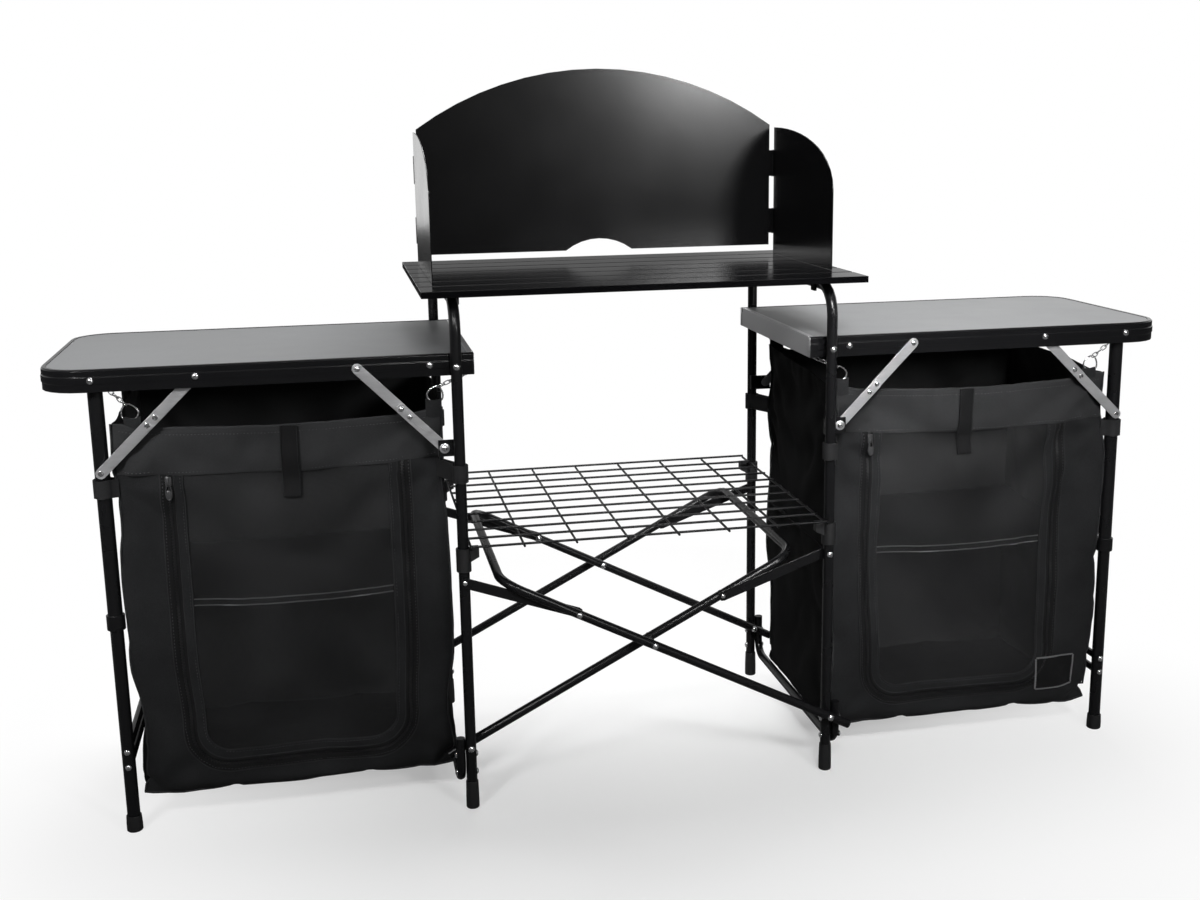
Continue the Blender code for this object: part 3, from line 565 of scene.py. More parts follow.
def both_faces(spots):
    """The same (x, y, z) spots on the front and the back, each with its outward direction."""
    return [((x, end * y, z), (0, end, 0)) for end in ENDS for x, y, z in spots]


def frame_rivets(label, side):
    places = []
    for end in ENDS:
        x = side * LEG_X
        face = end * (LEG_Y + LEG_R)
        places.append(((x, face, PIVOT_Z), (0, end, 0)))
        places.append(((x, face, BRACE_PIVOT_Z if side * end > 0 else LINK_LEG_Z), (0, end, 0)))
        for z in BASE_RIVETS_Z:
            places.append(((side * BASE_OUTER_X, end * LEG_Y, z), (side, 0, 0)))
            places.append(((side * BASE_INNER_X, end * LEG_Y, z), (-side, 0, 0)))
    rivets(f"{label}_frame_rivets", places, f"{label}_frame")


def brace_rivets(name, side):
    """Heads on both legs of the brace that leans towards this side."""
    places = []
    for end in ENDS:
        outer = side * end > 0
        y = end * (BRACE_OUT_Y + BRACE_R) if outer else end * (BRACE_IN_Y - BRACE_R)
        out = (0, end if outer else -end, 0)
        for x, z in ((-side * LEG_X, BRACE_PIVOT_Z), (side * LINK_BRACE_X, LINK_BRACE_Z), (0, CROSS_Z)):
            places.append(((x, y, z), out))
    rivets(f"{name}_rivets", places, name)


def link_rivets(label, side):
    """Each link's head: on the leg where the link passes outside it, and else on the brace."""
    places = []
    for end in ENDS:
        if side * end > 0:
            x, face, z = side * LEG_X, LINK_OUT_FACE, LINK_LEG_Z
        else:
            x, face, z = side * LINK_BRACE_X, LINK_IN_FACE, LINK_BRACE_Z
        places.append(((x, end * face, z), (0, end, 0)))
    rivets(f"{label}_link_rivets", places, f"{label}_links", 0.85)


def table_rivets(label, side):
    spots = [(side * (LEG_X + distance), TABLE_Y, PIVOT_Z) for distance in RIM_RIVETS]
    rivets(f"{label}_table_rivets", both_faces(spots), f"{label}_table")


def strut_rivets(label):
    """Heads at the inner struts' top, knuckle and foot, and a little below the knuckle."""
    top = JOINTS[f"{label}_inner_strut_upper_fold"]
    low = JOINTS[f"{label}_inner_strut_lower_fold"]
    knuckle = (top + low) / 2
    second = knuckle.lerp(low, 0.20)
    upper = [(top.x, UPPER_STRUT_FACE, top.z)]
    lower = [(point.x, LOWER_STRUT_FACE, point.z) for point in (knuckle, second)]
    bracket = [(low.x, BRACKET_FACE, low.z)]
    rivets(f"{label}_strut_top_rivets", both_faces(upper), f"{label}_inner_strut_uppers", 0.9)
    rivets(f"{label}_strut_knuckle_rivets", both_faces(lower), f"{label}_inner_strut_lowers", 0.8)
    rivets(f"{label}_strut_foot_rivets", both_faces(bracket), f"{label}_frame")


def strut_washers(label):
    """Bare plates under the heads at the inner struts' feet."""
    low = JOINTS[f"{label}_inner_strut_lower_fold"]
    bm = bmesh.new()
    for point, outwards in both_faces([(low.x, BRACKET_FACE, low.z)]):
        lathe(bm, WASHER, along(point, outwards), 20)
    piece(f"{label}_strut_washers", bm, "aluminium", f"{label}_frame")


def outer_strut_rivets(label):
    """Heads at the knuckle, where the two bars lap, and a little above it."""
    top = JOINTS[f"{label}_outer_strut_upper_fold"]
    foot = JOINTS[f"{label}_outer_strut_lower_fold"]
    reach = abs(foot.x - top.x)
    drop = top.z - foot.z
    knuckle = top.lerp(foot, (1 + (reach - drop) / math.hypot(reach, drop)) / 2)
    second = knuckle.lerp(top, 0.16)
    spots = [(point.x, OUTER_STRUT_FACE, point.z) for point in (knuckle, second)]
    rivets(f"{label}_outer_strut_rivets", both_faces(spots), f"{label}_outer_strut_uppers", 0.8, FLUSH)


def outer_leg_rivets(label):
    """Heads at the strut's foot on the upper tube, and over both crossbars on the lower one."""
    foot = JOINTS[f"{label}_outer_strut_lower_fold"]
    upper = [(foot.x, OUTER_BRACKET_FACE, foot.z)]
    lower = [(foot.x, CROSSBAR_FACE, z) for z in CROSSBARS_Z]
    rivets(f"{label}_outer_leg_rivets", both_faces(upper), f"{label}_outer_strut_lowers", 0.8, FLUSH)
    rivets(f"{label}_crossbar_rivets", both_faces(lower), f"{label}_leg_extension", 0.9)


def rim_ends(label, side):
    """The sawn ends of the rim's extrusion, which are bare metal."""
    low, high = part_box(f"{label}_table_rim")
    x = low.x if side > 0 else high.x
    inset = 0.0004
    bm = bmesh.new()
    for end in ENDS:
        near, far = sorted(end * wall for wall in RIM_WALL)
        thin = sorted((x - side * 0.0005, x + side * 0.0002))
        block(bm, (thin[0], near, low.z + inset), (thin[1], far, high.z - inset))
    piece(f"{label}_rim_ends", bm, "aluminium", f"{label}_table", 50)


# The cupboards' cloth, draped.


def floor_cells(grid):
    """The corners of each cell of a bag's bottom, from the grid of all its corners."""
    for a in range(CELLS_X):
        for b in range(CELLS_Y):
            yield grid[a, b], grid[a, b + 1], grid[a + 1, b + 1], grid[a + 1, b]


class Bag:
    """A cupboard. Its wall is rows of points round it, and row 0 is the top edge."""

    def __init__(self, label, side):
        self.label = label
        self.side = side
        self.low_x, self.high_x = sorted((side * BAG_INNER_X, side * BAG_OUTER_X))
        self.door_left = self.low_x + DOOR_IN[label]
        self.door_right = self.high_x - DOOR_OUT[label]
        self.step_x = (self.high_x - self.low_x) / CELLS_X
        self.step_y = 2 * BAG_HALF_Y / CELLS_Y
        self.step_z = (BAG_TOP - BAG_LOW) / CELLS_Z
        self.around = 2 * (CELLS_X + CELLS_Y)
        self.corners = (0, CELLS_X, CELLS_X + CELLS_Y, 2 * CELLS_X + CELLS_Y)
        self.rows = []
        self.floor = {}
        self.points = []

    def piece(self, name, bm, key, angle=50, slot="charcoal_cloth"):
        return piece(f"{self.label}_bag_{name}", bm, key, f"{self.label}_table", angle)

    def door(self, inset):
        """The door's left, right, bottom and corner radius, drawn in by inset."""
        return self.door_left + inset, self.door_right - inset, DOOR_LOW + inset, DOOR_CORNER - inset

    def plan(self, i):
        """Where column i stands in plan, going round from the front's low-x corner."""
        if i < CELLS_X:
            return self.low_x + i * self.step_x, -BAG_HALF_Y
        i -= CELLS_X
        if i < CELLS_Y:
            return self.high_x, -BAG_HALF_Y + i * self.step_y
        i -= CELLS_Y
        if i < CELLS_X:
            return self.high_x - i * self.step_x, BAG_HALF_Y
        i -= CELLS_X
        return self.low_x, BAG_HALF_Y - i * self.step_y

    def rise(self, x, y):
        """How far the top edge stands over the front's, near the corners and along the other walls."""
        from_side = min(x - self.low_x, self.high_x - x)
        side = SIDE_RISE * smooth(1 - from_side / SIDE_BLEND) * smooth((y + BAG_HALF_Y) / 0.16)
        corner = smooth(1 - from_side / CORNER_BLEND) * smooth(1 - (BAG_HALF_Y - abs(y)) / CORNER_BLEND)
        back = smooth(y / BAG_HALF_Y * 2 - 1) * smooth(from_side / SIDE_BLEND)
        return side + CORNER_RISE * corner + BACK_RISE * back

    def mesh(self):
        """The hanging cloth before it is draped, with its points' numbers kept in rows and floor."""
        bm = bmesh.new()
        rows = []
        for k in range(CELLS_Z + 1):
            row = []
            for i in range(self.around):
                x, y = self.plan(i)
                z = BAG_TOP - k * self.step_z + self.rise(x, y) * smooth(1 - k / 8)
                row.append(bm.verts.new((x, y, z)))
            rows.append(row)
        skin(bm, rows)
        floor = self.floor_grid(bm, rows[-1])
        for cell in floor_cells(floor):
            bm.faces.new(cell)
        bm.verts.index_update()
        self.rows = [[v.index for v in row] for row in rows]
        self.floor = {key: v.index for key, v in floor.items()}
        return finished("drape", bm)

    def floor_grid(self, bm, bottom):
        """The bottom's points by column and row, sharing the wall's lowest row at its edges."""
        floor = {}
        for a in range(CELLS_X + 1):
            for b in range(CELLS_Y + 1):
                if b == 0:
                    floor[a, b] = bottom[a]
                elif a == CELLS_X:
                    floor[a, b] = bottom[CELLS_X + b]
                elif b == CELLS_Y:
                    floor[a, b] = bottom[2 * CELLS_X + CELLS_Y - a]
                elif a == 0:
                    floor[a, b] = bottom[self.around - b]
                else:
                    x = self.low_x + a * self.step_x
                    y = -BAG_HALF_Y + b * self.step_y
                    floor[a, b] = bm.verts.new((x, y, BAG_LOW))
        return floor

    def at(self, i, k):
        """A point of the wall at fractional column i and row k."""
        i0 = int(math.floor(i))
        k0 = min(max(int(math.floor(k)), 0), CELLS_Z - 1)
        near, far = (
            self.points[row[i0 % self.around]].lerp(self.points[row[(i0 + 1) % self.around]], i - i0)
            for row in self.rows[k0 : k0 + 2]
        )
        return near.lerp(far, k - k0)

    def front(self, x, z, lift=0.0, wall=-1):
        """The point of the front (-1) or back (+1) wall that lies at x and z when flat, lifted off it."""
        if wall < 0:
            i = (x - self.low_x) / self.step_x
        else:
            i = CELLS_X + CELLS_Y + (self.high_x - x) / self.step_x
        k = (BAG_TOP - z) / self.step_z
        point = self.at(i, k)
        if lift:
            across = self.at(i + 0.5, k) - self.at(i - 0.5, k)
            down = self.at(i, k + 0.5) - self.at(i, k - 0.5)
            point = point + down.cross(across).normalized() * lift
        return point


def pin_cloth(bag, obj):
    """Holds the cloth at its corners and straps, and less firmly along its top and bottom edges."""
    group = obj.vertex_groups.new(name="pins")

    def pin(index, weight):
        group.add([index], weight, "REPLACE")

    for index in bag.rows[0]:
        pin(index, EDGE_HOLD)
    for corner in bag.corners:
        for k in range(3):
            for i in (-1, 0, 1):
                pin(bag.rows[k][(corner + i) % bag.around], 1.0)
        for k, row in enumerate(bag.rows):
            if STRAP_LOW <= BAG_TOP - k * bag.step_z <= STRAP_HIGH:
                pin(row[corner], 1.0)
        pin(bag.rows[-1][corner], 1.0)
        pin(bag.rows[-2][corner], 0.8)
    for (a, b), index in bag.floor.items():
        if 0 < a < CELLS_X and 0 < b < CELLS_Y:
            pin(index, FLOOR_HOLD)
        elif (a % CELLS_X, b % CELLS_Y) != (0, 0):
            pin(index, EDGE_HOLD)


def hang(obj):
    """Lets the cloth hang for a while, and returns where its points end up."""
    modifier = obj.modifiers.new("cloth", "CLOTH")
    settings = modifier.settings
    settings.quality = 6
    settings.mass = 0.25
    settings.tension_stiffness = 18
    settings.compression_stiffness = 12
    settings.shear_stiffness = 6
    settings.bending_stiffness = 1.2
    settings.air_damping = 3
    settings.vertex_group_mass = "pins"
    settings.shrink_min = -0.014
    modifier.point_cache.frame_start = 1
    modifier.point_cache.frame_end = HANG_FRAMES
    scene = bpy.context.scene
    for number in range(1, HANG_FRAMES + 1):
        scene.frame_set(number)
    result = obj.evaluated_get(bpy.context.evaluated_depsgraph_get()).to_mesh()
    points = [v.co.copy() for v in result.vertices]
    scene.frame_set(1)
    return points


def drape_cloth(bag, seed):
    """Hangs and creases the cloth, and keeps where its points end up."""
    mesh = bag.mesh()
    obj = add_object("drape", mesh)
    pin_cloth(bag, obj)
    points = hang(obj)
    faces = [tuple(p.vertices) for p in mesh.polygons]
    bpy.data.objects.remove(obj, do_unlink=True)
    bag.points = crease(bag, points, faces, seed)


def pucker(bag, point):
    """Folds that run out from the corners which straps and hooks pull on."""
    height = 0.0
    for x in (bag.low_x, bag.high_x):
        for z, reach in PULLS:
            across = abs(point.x - x) + (BAG_HALF_Y - abs(point.y))
            down = point.z - z
            far = math.hypot(across, down)
            if far < PUCKER_GAP:
                continue
            fan = math.cos(math.atan2(down, across) * 7 + x * 9 + z * 5)
            height += PUCKER * fan * smooth(far / 0.03) * bell(far / reach)
    return height


def gathered(bag, point, seed):
    """Draws the cloth in towards the bottom, and in at the sides above it, as a slack bag hangs."""
    low = smooth(1 - (point.z - BAG_LOW) / 0.13)
    waist = bell((point.z - BAG_LOW - 0.125) / 0.075)
    middle = (bag.low_x + bag.high_x) / 2
    lean = 0.030 + 0.012 * math.sin(seed * 4 + point.x * 3)
    x = middle + (point.x - middle) * (1 - lean * waist)
    y = point.y * (0.982 - 0.070 * low)
    half_x = (bag.high_x - bag.low_x) / 2
    return Vector((middle + kept_in(x - middle, half_x), kept_in(y, BAG_HALF_Y), point.z))


def kept_in(offset, half):
    """Lets the cloth stand only a little proud of its wall, so that it clears the struts."""
    proud = abs(offset) - half
    if proud <= 0:
        return offset
    return math.copysign(half + BULGE * (1 - math.exp(-proud / BULGE)), offset)


def crease(bag, points, faces, seed):
    """Adds the small folds that packing leaves, along the cloth's own normals."""
    bm = bmesh.new()
    verts = [bm.verts.new(p) for p in points]
    for face in faces:
        bm.faces.new([verts[i] for i in face])
    bmesh.ops.recalc_face_normals(bm, faces=bm.faces)
    bm.normal_update()
    shift = Vector((seed * 3.7, seed * 1.3, seed * 2.1))
    made = []
    for vert, flat in zip(verts, points):
        broad = 0.0070 * noise.noise(flat * 7 + shift)
        slanted = Vector((flat.x + flat.z * 0.6, flat.y, flat.z - flat.x * 0.5))
        folds = 0.0066 * noise.noise(Vector((slanted.x * 16, slanted.y * 16, slanted.z * 5)) + shift)
        fine = 0.0009 * noise.noise(flat * 42 + shift)
        creases = -0.0034 * bell(noise.noise(slanted * 8 + shift * 2) / 0.10)
        height = broad + folds + fine + creases + pucker(bag, flat)
        hold = 1 - 0.75 * bell((flat.z - BAG_TOP) / 0.03) - 0.65 * bell((flat.z - BAG_LOW) / 0.02)
        made.append(gathered(bag, flat + vert.normal * height * hold, seed))
    bm.free()
    return made


# What is sewn on the cloth.


def door_outline(bag, inset, step=0.008):
    """The door's U as (x, z) points, from its top left down and round to its top right."""
    left, right, low, radius = bag.door(inset)
    path = []

    def straight(start, end):
        count = max(2, round(math.dist(start, end) / step))
        path.extend(line(start, end, count)[:-1])

    def bend(x, z, start, end):
        count = max(4, round(radius * abs(end - start) / step))
        for n in range(count):
            angle = start + (end - start) * n / count
            path.append((x + radius * math.cos(angle), z + radius * math.sin(angle)))

    straight((left, SEAM_Z), (left, low + radius))
    bend(left + radius, low + radius, math.pi, 1.5 * math.pi)
    straight((left + radius, low), (right - radius, low))
    bend(right - radius, low + radius, 1.5 * math.pi, 2 * math.pi)
    straight((right, low + radius), (right, SEAM_Z))
    path.append((right, SEAM_Z))
    return path


def strip(bm, bag, path, section, wall=-1):
    """A band that follows a flat path over the cloth. section is a loop of (across, lift) points."""
    stations = []
    for n, (x, z) in enumerate(path):
        inward = heading(path[max(n - 1, 0)], path[min(n + 1, len(path) - 1)])[1]
        stations.append([bag.front(x + inward.x * a, z + inward.y * a, lift, wall) for a, lift in section])
    sweep(bm, stations)


def flat_section(left, right, low, high, cuts=1):
    """A thin flat band's section with eased edges. A wide one is cut across to follow the cloth."""
    ease = (high - low) * 0.25
    span = right - left - ease * 4
    across = [left + ease * 2 + span * n / cuts for n in range(cuts + 1)]
    section = [(left, low), (left, high - ease)]
    section += [(place, high) for place in across]
    section += [(right, high - ease), (right, low)]
    section += [(place, low) for place in reversed(across[1:-1])]
    return section


def cord_section(across, lift, wide, tall, sides=6):
    return [(across + wide * math.cos(a), lift + tall * math.sin(a)) for a in turns(sides)]


def stitches(bm, bag, path, lift, pitch=0.0055, long=0.0034, wide=0.0007):
    """A row of short threads along a flat path."""
    peak = 0.0008
    walked = 0.0
    for start, end in zip(path, path[1:]):
        length = math.dist(start, end)
        if length < 1e-6:
            continue
        tangent, inward = heading(start, end)
        place = (-walked) % pitch
        while place < length:
            x = start[0] + tangent.x * place
            z = start[1] + tangent.y * place
            row = []
            for a, b in ((-0.5, 0), (0, -1), (0.5, 0), (0, 1)):
                offset = tangent * long * a + inward * wide * b
                row.append(bm.verts.new(bag.front(x + offset.x, z + offset.y, lift)))
            top = bm.verts.new(bag.front(x, z, lift + peak))
            for m in range(4):
                bm.faces.new((row[m], row[(m + 1) % 4], top))
            bm.faces.new(list(reversed(row)))
            place += pitch
        walked += length


def inside_window(bag, x, z):
    """Whether a flat point of the front lies within the door's netting."""
    left, right, low, radius = bag.door(BORDER_W * 0.5)
    if not (left < x < right and low < z < SEAM_Z + 0.004):
        return False
    corner_x = min(x - left, right - x)
    corner_z = z - low
    if corner_x < radius and corner_z < radius:
        return math.hypot(radius - corner_x, radius - corner_z) < radius
    return True


def bag_shell(bag):
    """The walls and floor, with the door's window cut out, crisp at the corners and round the bottom."""
    bm = bmesh.new()
    verts = [bm.verts.new(p) for p in bag.points]
    for k, (row, after) in enumerate(zip(bag.rows, bag.rows[1:])):
        for i in range(bag.around):
            x = bag.low_x + (i + 0.5) * bag.step_x
            z = BAG_TOP - (k + 0.5) * bag.step_z
            if i < CELLS_X and inside_window(bag, x, z):
                continue
            j = (i + 1) % bag.around
            face = bm.faces.new((verts[row[i]], verts[row[j]], verts[after[j]], verts[after[i]]))
            across = i % (CELLS_X + CELLS_Y) < CELLS_X
            face.material_index = 0 if across else 1
    for cell in floor_cells(bag.floor):
        bm.faces.new([verts[c] for c in cell]).material_index = 2
    crisp = bm.edges.layers.float.new("crease_edge")
    for corner in bag.corners:
        for row, after in zip(bag.rows, bag.rows[1:]):
            bm.edges.get((verts[row[corner]], verts[after[corner]]))[crisp] = 0.9
    bottom = [verts[index] for index in bag.rows[-1]]
    for pair in zip(bottom, bottom[1:] + bottom[:1]):
        bm.edges.get(pair)[crisp] = 0.8
    loose = [v for v in bm.verts if not v.link_faces]
    bmesh.ops.delete(bm, geom=loose, context="VERTS")
    obj = bag.piece("cloth", bm, "cloth", 70)
    # The side walls, the floor outside and the floor inside take the darker weave, whose darkness is
    # painted shade on the front's fabric.
    for key in ("side", "side", "lining", "lining", "side"):
        obj.data.materials.append(MATERIALS[key])
    solid = obj.modifiers.new("thickness", "SOLIDIFY")
    solid.thickness = CLOTH_T
    solid.offset = -1
    solid.material_offset = 3
    subdivision = obj.modifiers.new("subdivision", "SUBSURF")
    subdivision.levels = 1
    subdivision.render_levels = 1
    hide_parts(f"{bag.label}_bag")


def bag_netting(bag):
    """The door's netting, which ends under the cloth border and has its rows closer at the bottom."""
    left, right, low, radius = bag.door(BORDER_W * 0.45)
    width = right - left
    height = SEAM_Z + 0.006 - low
    tall = 44
    wide = 30
    bm = bmesh.new()
    rows = []
    for n in range(tall + 1):
        z = low + height * (1 - n / tall) ** 1.4
        shy = 0.0
        if z < low + radius:
            shy = radius - math.sqrt(max(radius**2 - (low + radius - z) ** 2, 0.0))
        xs = [left + shy + (width - 2 * shy) * m / wide for m in range(wide + 1)]
        rows.append([bm.verts.new(bag.front(x, z, -0.0010)) for x in xs])
    for row, after in zip(rows, rows[1:]):
        for m in range(wide):
            bm.faces.new((row[m], row[m + 1], after[m + 1], after[m]))
    obj = bag.piece("netting", bm, "mesh", 70)


def bag_shelf(bag):
    """The shelf sewn between the four walls, sagging a little."""
    bm = bmesh.new()
    k = (BAG_TOP - SHELF_Z) / bag.step_z
    grid = []
    for a in range(CELLS_X + 1):
        near = bag.at(a, k)
        far = bag.at(2 * CELLS_X + CELLS_Y - a, k)
        column = []
        for b in range(CELLS_Y + 1):
            t = b / CELLS_Y
            point = near.lerp(far, t)
            point.z -= SHELF_SAG * math.sin(math.pi * t) * math.sin(math.pi * a / CELLS_X)
            point.y += 0.004 * (1 - t)
            column.append(point)
        grid.append(column)
    verts = [[bm.verts.new(p) for p in column] for column in grid]
    for column, after in zip(verts, verts[1:]):
        for b in range(CELLS_Y):
            bm.faces.new((column[b], after[b], after[b + 1], column[b + 1]))
    # The shelf takes the darker weave: painted shade on the same fabric as the front.
    obj = bag.piece("shelf", bm, "side", 70)
    solid = obj.modifiers.new("thickness", "SOLIDIFY")
    solid.thickness = 0.003
    shelf_binding(bag, [column[0] for column in grid[1:-1]])


def shelf_binding(bag, path):
    """A dark tape over the shelf's front edge, between two thin pale cords."""
    band = bmesh.new()
    section = ((-0.0010, -0.0085), (-0.0010, 0.0025), (0.0030, 0.0025), (0.0030, -0.0085))
    sweep(band, [[point + Vector((0, dy, dz)) for dy, dz in section] for point in path])
    bag.piece("shelf_binding", band, "tape")
    cords = bmesh.new()
    for height in (-0.0080, 0.0028):
        wire(cords, [point + Vector((0, -0.0010, height)) for point in path], 0.0012, 6)
    bag.piece("shelf_cords", cords, "edge", 60)


def bag_door(bag):
    """The cloth border inside the zip, the zip's tape, and the piping along both."""
    outline = door_outline(bag, 0.0)
    border = bmesh.new()
    strip(border, bag, outline, flat_section(0.004, BORDER_W, -0.0014, 0.0012))
    bag.piece("door_border", border, "cloth")
    tape = bmesh.new()
    strip(tape, bag, outline, flat_section(-0.0135, -0.0022, 0.0002, 0.0012))
    strip(tape, bag, outline, flat_section(0.0022, 0.0085, 0.0006, 0.0020))
    bag.piece("zip_tape", tape, "tape")
    piping = bmesh.new()
    for across in (-0.0140, 0.0088, BORDER_W - 0.0012):
        strip(piping, bag, outline, cord_section(across, 0.0012, 0.0011, 0.0011))
    bag.piece("piping", piping, "band", 60)


def zip_teeth(bag):
    """Small tapered blocks along the door's outline, set to either side in turn."""
    lift = 0.0016
    probe = 0.001
    bm = bmesh.new()
    outline = door_outline(bag, 0.0, TOOTH_PITCH)
    for n, (start, end) in enumerate(zip(outline, outline[1:])):
        x, z = start
        tangent, inward = heading(start, end)
        offset = 0.0006 if n % 2 else -0.0006
        beyond = offset + probe
        centre = bag.front(x + inward.x * offset, z + inward.y * offset, lift)
        ahead = bag.front(x + tangent.x * probe, z + tangent.y * probe, lift)
        across = bag.front(x + inward.x * beyond, z + inward.y * beyond, lift)
        run = (ahead - bag.front(x, z, lift)).normalized()
        side = (across - centre).normalized()
        matrix = axes_at(centre, run, side, run.cross(side))
        corners = []
        for half_run, half_wide, height in ((0.0009, 0.0021, -0.0006), (0.0006, 0.0018, 0.0009)):
            for a, b in ((-1, -1), (1, -1), (1, 1), (-1, 1)):
                corners.append(bm.verts.new(matrix @ Vector((a * half_run, b * half_wide, height))))
        for face in TOOTH_FACES:
            bm.faces.new([corners[c] for c in face])
    bag.piece("zip_teeth", bm, "plastic", 30, "black_plastic")


def bag_bands(bag):
    """The header over the door, the hems along the top, and the bound vertical and bottom edges."""
    left = bag.low_x + 0.004
    right = bag.high_x - 0.004
    header = bmesh.new()
    section = flat_section(-0.001, BAG_TOP - SEAM_Z - 0.001, 0.0006, 0.0024, 9)
    strip(header, bag, line((left, SEAM_Z), (right, SEAM_Z), 60), section)
    bag.piece("header", header, "band")
    binding = bmesh.new()
    hem_z = BAG_TOP - 0.004
    for wall in (-1, 1):
        path = line((left, hem_z), (right, hem_z), 60)
        strip(binding, bag, path, cord_section(0.0, 0.0, 0.0045, 0.0026, 8), wall)
    for i in bag.corners:
        wire(binding, [bag.at(i, k) for k in range(CELLS_Z + 1)], 0.0019, 6)
    bottom = [bag.at(i, CELLS_Z) for i in range(bag.around)]
    wire(binding, bottom, 0.0020, 6, closed=True)
    bag.piece("binding", binding, "band", 60)


def bag_stitching(bag):
    bm = bmesh.new()
    inset = 0.012
    for z in (SEAM_Z + 0.004, BAG_TOP - 0.012):
        stitches(bm, bag, [(bag.low_x + inset, z), (bag.high_x - inset, z)], 0.0023)
    for inset in (BORDER_W - 0.005, -0.0105):
        stitches(bm, bag, door_outline(bag, inset, 0.03), 0.0012)
    bag.piece("stitching", bm, "thread", 30)


def bag_tab(bag):
    """The webbing tie that hangs from the header's middle over the netting."""
    x = (bag.low_x + bag.high_x) / 2 - 0.012 * bag.side
    top = BAG_TOP - 0.001
    foot = BAG_TOP - 0.1235
    half = TAB_HALF_W
    path = line((x, top), (x, top - TAB_LONG), 24)
    bm = bmesh.new()
    for low, high, shift in ((0.0022, 0.0038, 0.0), (0.0046, 0.0062, 0.0015)):
        strip(bm, bag, path, flat_section(-half + shift, half + shift, low, high))
    strip(bm, bag, line((x - half, foot), (x + half, foot), 8), flat_section(-0.001, 0.003, 0.0020, 0.0068))
    bag.piece("tab", bm, "tape")
    edges = bmesh.new()
    for offset in (-half, half):
        strip(edges, bag, path, cord_section(offset, 0.0056, 0.0010, 0.0012))
    bag.piece("tab_edges", edges, "cloth", 60)


def zip_puller(bag):
    """The slider at the top of the door's left leg, with its pull hanging."""
    x = bag.door_left
    z = SEAM_Z - 0.012
    probe = 0.01
    out = (bag.front(x, z, probe) - bag.front(x, z)).normalized()
    down = (bag.front(x, z - probe) - bag.front(x, z)).normalized()
    matrix = axes_at(bag.front(x, z, 0.0018), out.cross(down), down, out)
    bm = bmesh.new()
    block(bm, (-0.0048, -0.0075, 0.0), (0.0048, 0.0075, 0.0028), matrix)
    bridge = ((-0.005, 0.002), (-0.003, 0.0038), (0.001, 0.0042), (0.005, 0.0034), (0.006, 0.002))
    wire(bm, [matrix @ Vector((0, y, height)) for y, height in bridge], 0.0010, 8)
    ring = []
    for angle in turns(28):
        wide = 0.0046 + 0.0012 * math.sin(angle)
        ring.append(matrix @ Vector((wide * math.cos(angle), 0.0165 + 0.0135 * math.sin(angle), 0.0034)))
    wire(bm, ring, 0.0011, 8, closed=True)
    block(bm, (-0.0036, 0.0150, 0.0026), (0.0036, 0.0285, 0.0044), matrix)
    bag.piece("zip_pull", bm, "pull", 40, "bare_aluminium")


def bag_patch(bag):
    """A bare cloth patch near the right bag's lower right corner, with a plain stitched border."""
    left, right = PATCH_X
    low, high = PATCH_Z
    bm = bmesh.new()
    strip(bm, bag, line((left, low), (right, low), 12), flat_section(0.0, high - low, 0.0004, 0.0024, 8))
    bag.piece("patch", bm, "tape", 40)
    left, right = left + PATCH_INSET, right - PATCH_INSET
    low, high = low + PATCH_INSET, high - PATCH_INSET
    loop = ((left, low), (right, low), (right, high), (left, high), (left, low))
    edge = bmesh.new()
    stitches(edge, bag, loop, 0.0026, pitch=0.0036, long=0.0036, wide=0.0010)
    for start, end in zip(loop, loop[1:]):
        strip(edge, bag, line(start, end, 10), flat_section(-0.0026, -0.0006, 0.0014, 0.0030))
    bag.piece("patch_stitching", edge, "pale", 40)


def leg_loop(bm, centre, radius, start):
    """A webbing strap from the bag's corner, round a leg and back on itself."""
    half_gap = 0.0045
    half_t = 0.0009
    outer = radius + 0.0032
    away, side = heading(centre, start)
    path = [start + side * half_gap]
    first = math.atan2(away.y, away.x) + math.radians(30)
    for n in range(25):
        angle = first + math.radians(300) * n / 24
        path.append(centre + Vector((math.cos(angle), math.sin(angle))) * outer)
    path.append(start - side * half_gap)
    stations = []
    for n, point in enumerate(path):
        normal = heading(path[max(n - 1, 0)], path[min(n + 1, len(path) - 1)])[1] * half_t
        wave = 0.0006 * math.sin(n * 0.9)
        low = STRAP_LOW + wave
        high = STRAP_HIGH + wave
        rows = ((-normal, low), (normal, low), (normal, high), (-normal, high))
        stations.append([(*(point + offset), height) for offset, height in rows])
    sweep(bm, stations)


def bag_straps(bag):
    """A loop at each corner: round the leg frame's tubes within, and the outer legs without."""
    tuck = 0.002
    bm = bmesh.new()
    corner_of = {(-1, -1): 0, (1, -1): 1, (1, 1): 2, (-1, 1): 3}
    k = (BAG_TOP - STRAP_Z) / bag.step_z
    for end in ENDS:
        for way, x, y, radius in ((-1, LEG_X, LEG_Y, LEG_R), (1, OUTER_X, OUTER_Y, OUTER_R)):
            x_sign = way * bag.side
            corner = bag.at(bag.corners[corner_of[x_sign, end]], k)
            start = Vector((corner.x - x_sign * tuck, corner.y - end * tuck))
            leg_loop(bm, Vector((bag.side * x, end * y)), radius, start)
    bag.piece("straps", bm, "webbing")


# Wire rings and chains that carry the bag's corners.


